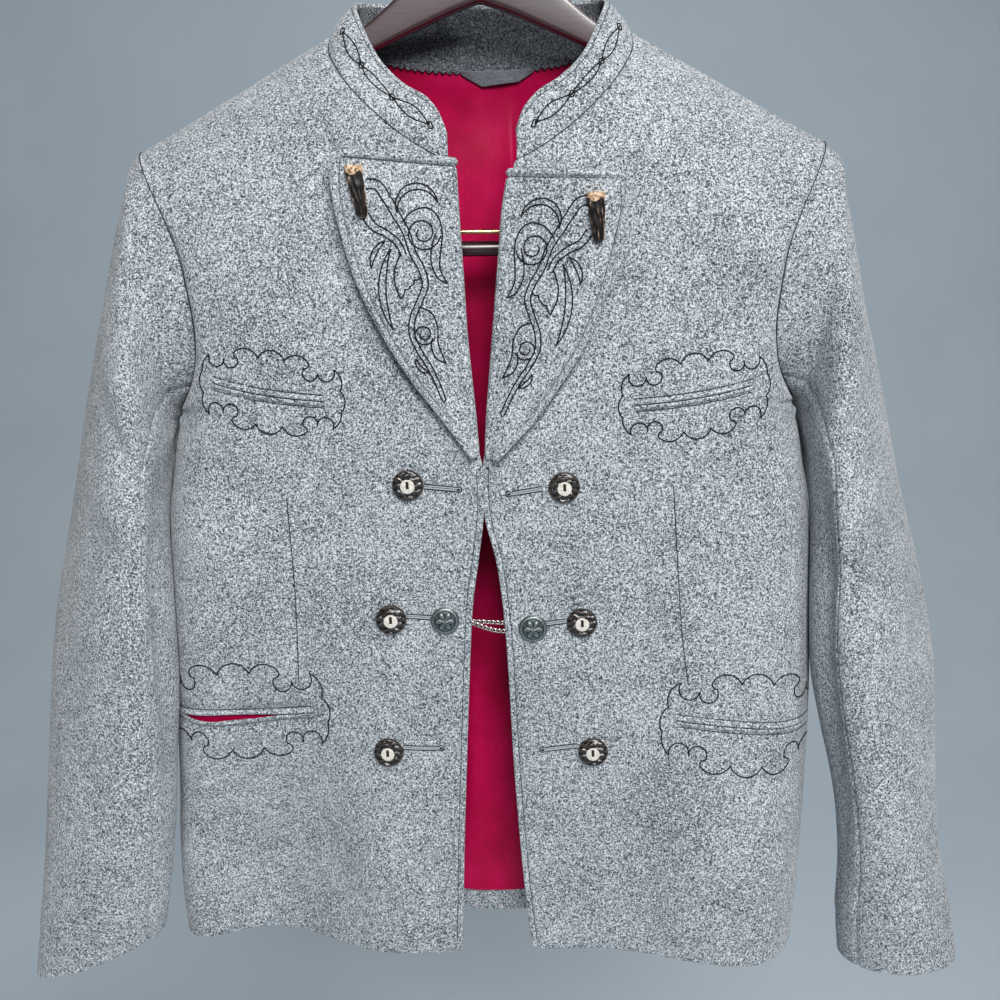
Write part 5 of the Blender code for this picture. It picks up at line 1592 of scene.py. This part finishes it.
# Edge stitching in the grooves of the lapels and fronts, in grey darkened as painted groove shade, and
# dark lines of painted seam shade on the darts under the chest pockets
DARTS = [
    [(-140.1, -439.0), (-138.4, -505.0), (-140.6, -580.5)],
    [(128.2, -435.0), (136.5, -545.0), (141.0, -579.0)],
]
edge_paths = []
for side in (LEFT, RIGHT):
    z = np.arange(BREAK_Z - 6, HEM_Z + 6, -STEP)
    x = read(FRONT_EDGE, WORDS[side] + "_x", z) + side * STITCH_IN
    edge_paths.append(laid(front_tree, np.stack([x, z], axis=1)))
    table = LAPELS[side]
    first, stitch_z = table[0], table[0].edge_z - LAPEL_STITCH_IN
    top = [(first.roll_x + side * 2, first.roll_z - LAPEL_STITCH_IN), (first.edge_x - side * 2, stitch_z)]
    edge_paths.append(laid(lapel_tree, evenly(top)))
    outline = [(first.edge_x - side * 0.5, stitch_z - 3)]
    outline += [(row.edge_x - side * LAPEL_STITCH_IN, row.edge_z) for row in table[2:-1]]
    edge_paths.append(laid(lapel_tree, evenly(outline)))
station = np.linspace(0.4, COLLAR_STATIONS - 0.4, 700)
edge_paths.append(on_collar(station, np.full_like(station, 1 - COLLAR_STITCH_IN / COLLAR_HEIGHT)))
# The edge stitching is drawn in that darker grey as painted groove shade
made = tubes(
    "edge_stitching", edge_paths, EDGE_THREAD_RADIUS, edge_groove_shade_thread, STITCH_LENGTH, sink=EDGE_THREAD_SINK
)
place_piece(made, "grey_loden")
# Dark lines on the darts, the pocket ditches, the collar seam and the armholes: painted shade of the seam
# valleys
seam_shade_paths = [laid(front_tree, evenly(line)) for line in DARTS]
seam_shade_paths += [laid(front_tree, line) for line in ditch_shade_lines]
station = np.linspace(0.1, COLLAR_STATIONS - 0.1, 700)
seam_shade_paths.append(on_collar(station, np.full_like(station, 0.004)))
for side in (LEFT, RIGHT):
    x, y, z = armhole(side, FRONT, np.linspace(0.2, ARMHOLE_STEPS - 0.6, 400))
    out = np.array([side * 0.45, -0.9, 0.1])
    seam_shade_paths.append((np.stack([x, y, z], axis=1) - 0.7 * out, np.tile(out, (len(x), 1))))
made = tubes("seam_threads", seam_shade_paths, SEAM_SHADE_RADIUS, seam_shade_look, sink=SEAM_SHADE_SINK)
place_piece(made, "grey_loden")


# --- Buttonholes -------------------------------------------------------------------------------------
# Closed buttonholes: two lips bound in pale grey cord, edged with black stitches. Those at the top and
# bottom are keyhole ones, with a round eye towards the front edge whose hole is a black dot of painted shade.

Hole = namedtuple("Hole", "start_x start_z end_x end_z eye")
HOLES = [
    Hole(-44.4, -432.2, -20.5, -434.7, True),
    Hole(37.7, -435.0, 14.0, -438.6, True),
    Hole(-60.0, -527.0, -38.0, -528.6, False),
    Hole(58.0, -532.0, 36.0, -534.6, False),
    Hole(-66.0, -627.9, -38.2, -629.4, True),
    Hole(62.0, -629.9, 36.0, -632.2, True),
]
LIP_OFFSET = 0.75
LIP_RADIUS = 0.6
BAR_OFFSET = 1.6
BAR_RADIUS_MM = 0.42
EYE_RADIUS = 1.1
EYE_OPENS = 145.0
EYE_STEPS = 22
EYE_SHADE_RADIUS = 0.95
NECK_LENGTH = 5.0
LIP_STITCH = 1.1
BAR_STITCH = 1.4

lip_paths, dark_paths, eye_shade_paths = [], [], []
for hole in HOLES:
    start, end = np.array([hole.start_x, hole.start_z]), np.array([hole.end_x, hole.end_z])
    length = np.hypot(*(end - start))
    way = (end - start) / length
    left = np.array([-way[1], way[0]])
    for offset, gathered in ((LIP_OFFSET, lip_paths), (BAR_OFFSET, dark_paths)):
        if hole.eye:
            reach = EYE_RADIUS + offset - LIP_OFFSET
            around = np.radians(np.linspace(EYE_OPENS, -EYE_OPENS, EYE_STEPS))
            eye = [(length + reach * math.cos(a), reach * math.sin(a)) for a in around]
            neck = length - NECK_LENGTH
            lines = [[(0, offset), (neck, offset)] + eye + [(neck, -offset), (0, -offset)]]
        else:
            lines = [[(0, s * offset), (length / 2, s * offset), (length, s * offset)] for s in (1, -1)]
        for line in lines:
            line = evenly(line, 0.5)
            gathered.append(laid(front_tree, start + line[:, :1] * way + line[:, 1:] * left))
    # A black dot in each keyhole eye: painted shade of the hole
    if hole.eye:
        dot = evenly([(length - 1.1, 0), (length, 0), (length + 0.9, 0)], 0.3)
        eye_shade_paths.append(laid(front_tree, start + dot[:, :1] * way + dot[:, 1:] * left))
made = tubes("buttonhole_cords", lip_paths, LIP_RADIUS, pale_thread, LIP_STITCH, sides=8)
place_piece(made, "grey_loden")
made = tubes("buttonhole_bars", dark_paths, BAR_RADIUS_MM, embroidery_and_hole_shade_black, BAR_STITCH, sink=0.3)
place_piece(made, "grey_loden")
made = tubes("buttonhole_eyes", eye_shade_paths, EYE_SHADE_RADIUS, embroidery_and_hole_shade_black, sides=8)
place_piece(made, "grey_loden")


# --- Antler buttons ----------------------------------------------------------------------------------
# Slices of stag antler with their dark ridged rind left on, each set with a pale bone disc that is cut
# with one slot for the thread.

Button = namedtuple("Button", "x z")
ANTLER_BUTTONS = [
    Button(-55.6, -431.0),
    Button(52.4, -434.3),
    Button(-71.1, -529.1),
    Button(64.9, -533.7),
    Button(-76.7, -631.5),
    Button(73.3, -634.2),
]
ANTLER_RADIUS = 11.0
ANTLER_FOOT = 0.45
ANTLER_HEIGHT = 4.2
ANTLER_DOME = 1.5
ANTLER_CHAMFER = 1.4
RIDGE_DEPTH = 0.69
RIDGE_PITCH = 4.1
FINE_RIDGE_PITCH = 2.3
PHASE_STEP = 1.7
BONE_RADIUS = 4.9
BONE_FOOT = 3.9
BONE_SUNK = 0.8
BONE_HEIGHT = 1.9
BONE_DOME = 0.5
SLOT_HALF_WIDTH = 0.95
SLOT_HALF_LENGTH = 2.5
SLOT_DEPTH = 0.9
SLOT_Z = 0.9
FOOT_SHARE = 0.86
BUTTON_RINGS = 22
BUTTON_RIM = [0.94, 0.97, 0.99, 1.0]
BUTTON_SPOKES = 72
WELD_METRES = 1e-6


def fan(start, count, tip):
    """Faces that close a ring of points on its tip."""
    return [(start + j, start + (j + 1) % count, tip) for j in range(count)]


def seat(x, z, reach=9.0):
    """Place of a button's foot on the fronts, its outward axis and two directions across it."""
    (foot,), _ = laid(front_tree, [(x, z)])
    around, _ = laid(front_tree, [(x - reach, z), (x + reach, z), (x, z - reach), (x, z + reach)])
    across, up = around[1] - around[0], around[3] - around[2]
    out = np.cross(up, across)
    out /= np.linalg.norm(out)
    out = out if out[1] < 0 else -out
    across = across - out * across.dot(out)
    across /= np.linalg.norm(across)
    up = np.cross(out, across)
    up = up if up[2] > 0 else -up
    return foot, out, across, up


def button_mesh(name, foot, out, across, up, radius, back, height, looks, pick=None):
    """A round button: height(x, z) gives its face, back its foot's height. pick gives a face's look."""
    shares = np.concatenate([np.linspace(0, 0.9, BUTTON_RINGS), BUTTON_RIM])
    angles = 2 * np.pi * np.arange(BUTTON_SPOKES) / BUTTON_SPOKES
    xs = radius * shares[:, None] * np.cos(angles)
    zs = radius * shares[:, None] * np.sin(angles)
    rise = height(xs, zs)
    face = foot + out * rise[..., None] + across * xs[..., None] + up * zs[..., None]
    middle = foot + out * back
    under = middle + FOOT_SHARE * (across * xs[-1][:, None] + up * zs[-1][:, None])
    points = np.concatenate([face.reshape(-1, 3), under, middle[None]])
    rings, count = len(shares), BUTTON_SPOKES
    faces = quads(rings + 1, count, closed=True)
    picks = [int(pick(x, z)) if pick else 0 for x, z in zip(xs.flat, zs.flat)] + [0] * count
    made = build(name, points, faces + fan(rings * count, count, (rings + 1) * count), looks, picks)
    shape = bmesh.new()
    shape.from_mesh(made.data)
    bmesh.ops.remove_doubles(shape, verts=shape.verts, dist=WELD_METRES)
    shape.to_mesh(made.data)
    shape.free()
    return made


# Antler rind: dark brown ridges with near-black valleys, waxed. Height picks the colour
antler = grained(
    "waxed_stag_antler", {"Roughness": 0.3, "Coat Weight": 0.6, "Coat Roughness": 0.12},
    {"Scale": 620.0, "Detail": 4.0, "Roughness": 0.6},
    [(0.45, "#030202"), (0.8, "#0e0a08"), (0.97, "#211815"), (1.0, "#43362f")],
    stretch=(0.28, 1, 1), bump=(0.0005, 0.6), wear=(0.46, 0.56, 1.0, 0.7),
)
# Polished bone: cream with faint pores. Its slot is painted dark as the shade inside it
bone = grained(
    "polished_bone", {"Roughness": 0.3, "Subsurface Weight": 0.08, "Subsurface Scale": 0.001},
    {"Scale": 900.0, "Detail": 2.0}, [(0.35, "#cfc8b8"), (0.6, "#f4f0e8")],
)
slot_shade_paint = grained(
    "dark_slot_wax", {"Roughness": 0.7}, {"Scale": 1500.0}, [(0.3, "#14100d"), (0.7, "#2e241e")]
)


def antler_face(x, z, phase):
    """Height of the rind: a low dome with ridges along x that waver and break. phase sets each apart."""
    radius = np.hypot(x, z) / ANTLER_RADIUS
    body = ANTLER_HEIGHT - ANTLER_DOME * radius**4 - ANTLER_CHAMFER * smoothstep((radius - 0.93) / 0.07)
    bent = z + 0.7 * np.sin(x / 3.1 + phase) + 0.45 * np.sin(x / 1.3 + 2.3 * phase)
    wave = np.sin(bent * 2 * np.pi / RIDGE_PITCH + phase)
    wave += 0.5 * np.sin(bent * 2 * np.pi / FINE_RIDGE_PITCH + 2.1 * phase + x / 2)
    broken = 0.55 + 0.45 * np.sin(x / 1.9 + bent / 1.4 + phase) * np.sin(x / 0.9 - bent / 2.9)
    return body + RIDGE_DEPTH * wave * broken * smoothstep((1 - radius) / 0.08)


def bone_face(x, z):
    """Height of a disc: slightly domed, with its slot sunk in."""
    radius = np.hypot(x, z) / BONE_RADIUS
    reach = np.maximum(np.abs(x) / SLOT_HALF_WIDTH, np.abs(z - SLOT_Z) / SLOT_HALF_LENGTH)
    slot = 1 - smoothstep((reach - 0.75) / 0.4)
    return BONE_FOOT + BONE_HEIGHT - BONE_DOME * radius**3 - SLOT_DEPTH * slot


def in_slot(x, z):
    return abs(x) < SLOT_HALF_WIDTH and abs(z - SLOT_Z) < SLOT_HALF_LENGTH


for number, button in enumerate(ANTLER_BUTTONS, 1):
    axes = seat(button.x, button.z)
    rind_face = partial(antler_face, phase=number * PHASE_STEP)
    made = button_mesh(f"antler_rind_{number}", *axes, ANTLER_RADIUS, ANTLER_FOOT, rind_face, [antler])
    place_piece(made, "dark_horn", f"antler_button_{number}")
    bone_looks = [bone, slot_shade_paint]
    made = button_mesh(
        f"bone_disc_{number}", *axes, BONE_RADIUS, BONE_FOOT - BONE_SUNK, bone_face, bone_looks, in_slot
    )
    place_piece(made, "pale_horn", f"button_centre_{number}")


# --- Metal buttons -----------------------------------------------------------------------------------
# Domed cast pewter, blackened and rubbed bright on its high spots: a plain six-petalled flower inside a
# rope border.

METAL_BUTTONS = [Button(-32.6, -529.8), Button(29.9, -536.9)]
METAL_RADIUS = 10.3
RIM_HEIGHT = 1.6
DOME_HEIGHT = 5.2
PETALS = 6
PETAL_REACH = 0.68
PETAL_HEIGHT = 0.5
VEIN_DEPTH = 0.25
ROPE_RADIUS = 0.84
ROPE_HEIGHT = 0.32
ROPE_TURNS = 30

pewter = grained(
    "blackened_pewter", {"Roughness": 0.48, "Metallic": 0.85}, {"Scale": 900.0, "Detail": 3.0},
    [(0.2, "#23282a"), (0.5, "#566062"), (0.8, "#969f9f"), (1.0, "#cdd2d1")],
    bump=(0.0002, 0.5), wear=(0.48, 0.56, 1.0, 0.5),
)


def metal_face(x, z):
    """Height of the cast face. Places on it are shares of its radius."""
    radius = np.hypot(x, z) / METAL_RADIUS
    angle = np.arctan2(z, x)
    dome = RIM_HEIGHT + (DOME_HEIGHT - RIM_HEIGHT) * np.sqrt(np.clip(1 - (radius * 0.98) ** 2, 0, 1))
    petal = PETAL_REACH * np.abs(np.cos(PETALS / 2 * angle)) ** 0.6
    flower = PETAL_HEIGHT * smoothstep((petal - radius) / 0.12) * (0.7 + 0.3 * np.cos(PETALS * angle))
    off_vein = np.sin(PETALS / 2 * angle + np.pi / 2) * radius
    vein = -VEIN_DEPTH * hump(off_vein, 0.05) * (radius < 0.6)
    heart = PETAL_HEIGHT * hump(radius, 0.14)
    plies = 1 + 0.7 * np.sin(ROPE_TURNS * angle + 14 * radius)
    return dome + flower + vein + heart + ROPE_HEIGHT * hump(radius - ROPE_RADIUS, 0.06) * plies


for side, button in zip((LEFT, RIGHT), METAL_BUTTONS):
    axes = seat(button.x, button.z)
    name = f"pewter_button_{WORDS[side]}"
    made = button_mesh(name, *axes, METAL_RADIUS, ANTLER_FOOT, metal_face, [pewter])
    place_piece(made, "antique_pewter", f"metal_button_{WORDS[side]}")


# --- Chain -------------------------------------------------------------------------------------------
# Two strands of silver-plated curb chain, fastened behind the fronts by the metal buttons. Each link is
# an oval of wire twisted a third of a turn, so that the links lie flat against each other.

Strand = namedtuple("Strand", "name apart sag")
STRANDS = [Strand("upper", 1.2, 1.2), Strand("lower", -4.8, 1.6)]
LINK_PITCH = 3.2
LINK_HALF_LENGTH = 2.5
LINK_HALF_WIDTH = 1.6
LINK_WIRE = 0.45
LINK_TILT = 26.0
LINK_TWIST = 0.35
LINK_STEPS = 19
CHAIN_BEHIND = 1.5

silver = grained(
    "silver_plated_brass", {"Roughness": 0.22, "Metallic": 1.0}, {"Scale": 700.0, "Detail": 2.0},
    [(0.35, "#d2cfc8"), (0.7, "#fbf9f5")],
)

for strand in STRANDS:
    start, end = METAL_BUTTONS
    share = np.linspace(0, 1, 200)
    spread = smoothstep((share - 0.18) / 0.45) * smoothstep((1.0 - share) / 0.2)
    x = start.x + (end.x - start.x) * share
    z = start.z + (end.z - start.z) * share + spread * strand.apart - strand.sag * np.sin(np.pi * share)
    depths = [float(cloth_y(FRONT, button.x, button.z)) for button in METAL_BUTTONS]
    y = depths[0] + (depths[1] - depths[0]) * share + LODEN + CHAIN_BEHIND
    route = evenly(np.stack([x, y, z], axis=1)[::12], LINK_PITCH)
    way = np.gradient(route, axis=0)
    way /= np.linalg.norm(way, axis=1, keepdims=True)
    links = []
    for middle, ahead in zip(route, way):
        flat = Vector(ahead).cross(Vector((0, -1, 0))).normalized()
        flat = Matrix.Rotation(math.radians(LINK_TILT), 3, Vector(ahead)) @ flat
        face = np.array(Vector(ahead).cross(flat))
        around = np.linspace(0, 2 * np.pi, LINK_STEPS)
        twist = LINK_TWIST * np.sin(2 * around)[:, None]
        ring = middle + np.cos(around)[:, None] * LINK_HALF_LENGTH * ahead
        ring = ring + np.sin(around)[:, None] * LINK_HALF_WIDTH * np.array(flat) + twist * face
        links.append((ring, np.tile(face, (len(ring), 1))))
    made = tubes(f"curb_chain_{strand.name}", links, LINK_WIRE, silver, sink=0.5)
    place_piece(made, "silver_chain", "chain_" + strand.name)


# --- Horn toggles ------------------------------------------------------------------------------------
# A tip of antler sewn down on each lapel: dark, cracked and ridged along its length, sawn straight
# across at its thick end where the pale core shows.

Toggle = namedtuple("Toggle", "side top_x top_z low_x low_z")
TOGGLES = [
    Toggle(LEFT, -83.0, -219.5, -77.6, -252.0),
    Toggle(RIGHT, 72.5, -238.5, 74.6, -270.0),
]
TOGGLE_PROFILE = [(0.0, 5.4), (0.06, 5.7), (0.2, 5.3), (0.5, 4.6), (0.8, 3.9), (0.95, 3.2), (1.0, 1.8)]
TOGGLE_FLATNESS = 0.62
TOGGLE_GAP = 0.5
CORE_ROWS = 9
TOGGLE_SPOKES = 40
TOGGLE_ROWS = 70

bark = grained(
    "dark_antler_tip", {"Roughness": 0.38, "Coat Weight": 0.3, "Coat Roughness": 0.2},
    {"Scale": 420.0, "Detail": 5.0, "Roughness": 0.65},
    [(0.56, "#070505"), (0.66, "#1a110d"), (0.74, "#5a4334"), (0.84, "#d0b598")],
    stretch=(1, 1, 0.3), bump=(0.0012, 0.9), wear=(0.49, 0.58, 0.35, 1.0),
)
core = grained(
    "sawn_antler_core", {"Roughness": 0.55}, {"Scale": 650.0, "Detail": 3.0},
    [(0.35, "#6e4526"), (0.5, "#d5b08a"), (0.65, "#f0d9be")],
)


def capped(name, rings, tips, looks, picks=None):
    """A closed mesh through rings of points, with a tip in the middle of each end. picks gives the look
    of the faces between rings, by ring and place in it, then the looks of the two ends."""
    rows, count = rings.shape[:2]
    points = np.concatenate([rings.reshape(-1, 3), tips])
    faces = quads(rows, count, closed=True)
    faces += fan(0, count, rows * count) + fan((rows - 1) * count, count, rows * count + 1)
    if picks is not None:
        sides, first, last = picks
        picks = np.concatenate([sides.ravel(), [first] * count, [last] * count]).astype(int)
    return build(name, points, faces, looks, picks)


for toggle in TOGGLES:
    share = np.linspace(0, 1, TOGGLE_ROWS)
    wide = lookup(TOGGLE_PROFILE, share)
    x = toggle.top_x + (toggle.low_x - toggle.top_x) * share
    z = toggle.top_z + (toggle.low_z - toggle.top_z) * share
    rest, _ = laid(lapel_tree, np.stack([x, z], axis=1))
    y = np.minimum(rest[:, 1], rest[:, 1].mean() + 1) - TOGGLE_GAP - wide * TOGGLE_FLATNESS
    angle = 2 * np.pi * np.arange(TOGGLE_SPOKES) / TOGGLE_SPOKES
    down = share[:, None]
    bumps = 0.35 * np.sin(5 * angle + 3 * down) + 0.3 * np.sin(9 * angle - 11 * down)
    bumps += 0.15 * np.sin(23 * down + 1.4 * np.sin(3 * angle + 2))
    radius = wide[:, None] + bumps * smoothstep((1 - down) / 0.1)
    rings = np.stack([
        x[:, None] + radius * np.cos(angle),
        y[:, None] + radius * TOGGLE_FLATNESS * np.sin(angle),
        z[:, None] + 0 * radius,
    ], axis=2)
    sawn = np.sin(3 * angle + 1)
    rings[0, :, 2] += 0.8 * sawn
    tips = [rings[0].mean(axis=0) + (0, 0, 0.6), rings[-1].mean(axis=0)]
    bare = np.arange(TOGGLE_ROWS - 1)[:, None] < CORE_ROWS + 3 * sawn
    made = capped(f"antler_toggle_{WORDS[toggle.side]}", rings, tips, [bark, core], (bare, 1, 0))
    place_piece(made, "dark_horn", f"horn_toggle_{WORDS[toggle.side]}")


# --- Hanger ------------------------------------------------------------------------------------------
# A beech suit hanger stained mahogany and lacquered, with a trouser bar on gilt wire, a gilt clamp rod
# in front of it, and a swivelling nickel-plated hook.

Arm = namedtuple("Arm", "x top low")
ARMS = [
    Arm(0, -75, -111),
    Arm(20, -82, -118),
    Arm(38, -92, -125.5),
    Arm(56, -107, -133),
    Arm(74, -122, -141),
    Arm(90, -132, -150),
    Arm(106, -139.5, -157),
    Arm(126, -147.8, -164.7),
    Arm(160, -166.2, -182.2),
    Arm(195, -185.4, -199.2),
    Arm(214, -195.8, -206.2),
]
# Half of an arm's section, from its top: (share of its half depth, share of its height)
ARM_HALF_OUTLINE = [(-0.3, 0.0), (-0.78, 0.02), (-0.97, 0.12), (-0.97, 0.86), (-0.8, 0.97), (-0.3, 1.0)]
ARM_HALF_DEPTH = 7.0
ARM_END_NARROWING = 0.25
ARM_STATIONS = 120
ARM_SPOKES = 40
BAR_Z = -272.5
BAR_RADIUS = 5.5
BAR_HALF_LENGTH = 172.0
BAR_WIRE_X = 164.0
ROD_Y = -12.0
ROD_Z = -261.0
ROD_RADIUS = 1.5
ROD_HALF_LENGTH = 149.5
ROD_LEG_X = 148.0
WIRE_GAP = 0.3
HOOK_WIRE_RADIUS = 2.0
HOOK_INNER_RADIUS = 19.0

# Stained and lacquered beech: short dark flecks along the grain under a clear glossy coat
lacquer = grained(
    "mahogany_stained_beech",
    {"Roughness": 0.38, "Coat Weight": 1.0, "Coat Roughness": 0.2, "Coat IOR": 1.55},
    {"Scale": 900.0, "Detail": 3.0}, [(0.35, "#2a1216"), (0.6, "#3d1e24"), (0.8, "#4b2a31")],
    stretch=(0.06, 1, 1), bump=(0.0002, 0.15),
)

xs = np.linspace(-ARMS[-1].x, ARMS[-1].x, ARM_STATIONS)
top = through([arm.x for arm in ARMS], [arm.top for arm in ARMS], np.abs(xs))
low = through([arm.x for arm in ARMS], [arm.low for arm in ARMS], np.abs(xs))
outline = ARM_HALF_OUTLINE + [(-across, down) for across, down in reversed(ARM_HALF_OUTLINE)]
places = np.linspace(2, len(outline) + 2, ARM_SPOKES + 1)[:-1]
across, down = through(range(len(outline) + 5), outline[-2:] + outline + outline[:3], places).T
narrow = 1 - ARM_END_NARROWING * smoothstep((np.abs(xs) - 195) / 19)
rings = np.stack([
    np.broadcast_to(xs[:, None], (ARM_STATIONS, ARM_SPOKES)),
    ARM_HALF_DEPTH * across * narrow[:, None],
    top[:, None] + (low - top)[:, None] * down,
], axis=2)
made = capped("hanger_arms_wood", rings, [rings[0].mean(axis=0), rings[-1].mean(axis=0)], [lacquer])
place_piece(made, "stained_wood", "hanger_arms")


def rod(name, points, radius, look, sides=16):
    """A straight or bent round rod through points in a plane that faces y, or else x."""
    path = np.array(points, float)
    normal = [0.0, 1.0, 0.0] if abs(path[-1, 1] - path[0, 1]) < 1 else [1.0, 0.0, 0.0]
    return tubes(name, [(path, np.tile(normal, (len(path), 1)))], radius, look, sink=0.5, sides=sides)


bar_places = [(x, 0, BAR_Z) for x in np.linspace(-BAR_HALF_LENGTH, BAR_HALF_LENGTH, 60)]
place_piece(rod("trouser_bar_wood", bar_places, BAR_RADIUS, lacquer, 24), "stained_wood", "hanger_bar")

gilt = grained(
    "gilt_steel_wire", {"Roughness": 0.24, "Metallic": 1.0}, {"Scale": 160.0, "Detail": 2.0},
    [(0.35, "#c79a55"), (0.7, "#f3dba6")],
)

lows = [(arm.x, arm.low) for arm in ARMS]
arm_low, leg_low = float(lookup(lows, BAR_WIRE_X + ROD_RADIUS)), float(lookup(lows, ROD_LEG_X))
for side in (LEFT, RIGHT):
    x = side * BAR_WIRE_X
    wire = [(x, 0, z) for z in np.linspace(arm_low - 0.4, BAR_Z + BAR_RADIUS + WIRE_GAP, 20)]
    x = side * ROD_LEG_X
    bend = (x, ROD_Y * 0.8, leg_low - 16)
    leg = evenly([(x, -2.5, leg_low - 1.6), bend, (x, ROD_Y, ROD_Z + ROD_RADIUS + WIRE_GAP)], 3)
    for name, line in (("bar_wire", wire), ("rod_leg", leg)):
        made = rod(f"{name}_{WORDS[side]}_gilt", line, ROD_RADIUS, gilt)
        place_piece(made, "gold_wire", f"{name}_{WORDS[side]}")
line = [(x, ROD_Y, ROD_Z) for x in np.linspace(-ROD_HALF_LENGTH, ROD_HALF_LENGTH, 60)]
place_piece(rod("clamp_rod_gilt", line, ROD_RADIUS, gilt), "gold_wire", "clamp_rod")

nickel = grained(
    "nickel_plated_steel", {"Roughness": 0.2, "Metallic": 1.0}, {"Scale": 260.0, "Detail": 3.0},
    [(0.35, "#a9a9a6"), (0.7, "#d9d9d6")],
)
reach = HOOK_INNER_RADIUS + HOOK_WIRE_RADIUS
angle = np.radians(np.linspace(-62, 205, 90))
curl = [(reach * math.cos(a), 0, -HOOK_INNER_RADIUS + reach * math.sin(a)) for a in angle]
stem = evenly([(0, 0, ARMS[0].top + 0.3), (0, 0, -66), (0, 0, -56), (2.2, 0, -49), curl[0]], 1.0)
hook = np.concatenate([stem[:-1], curl])
place_piece(rod("hanger_hook_nickel", hook, HOOK_WIRE_RADIUS, nickel), "nickel_steel", "hanger_hook")
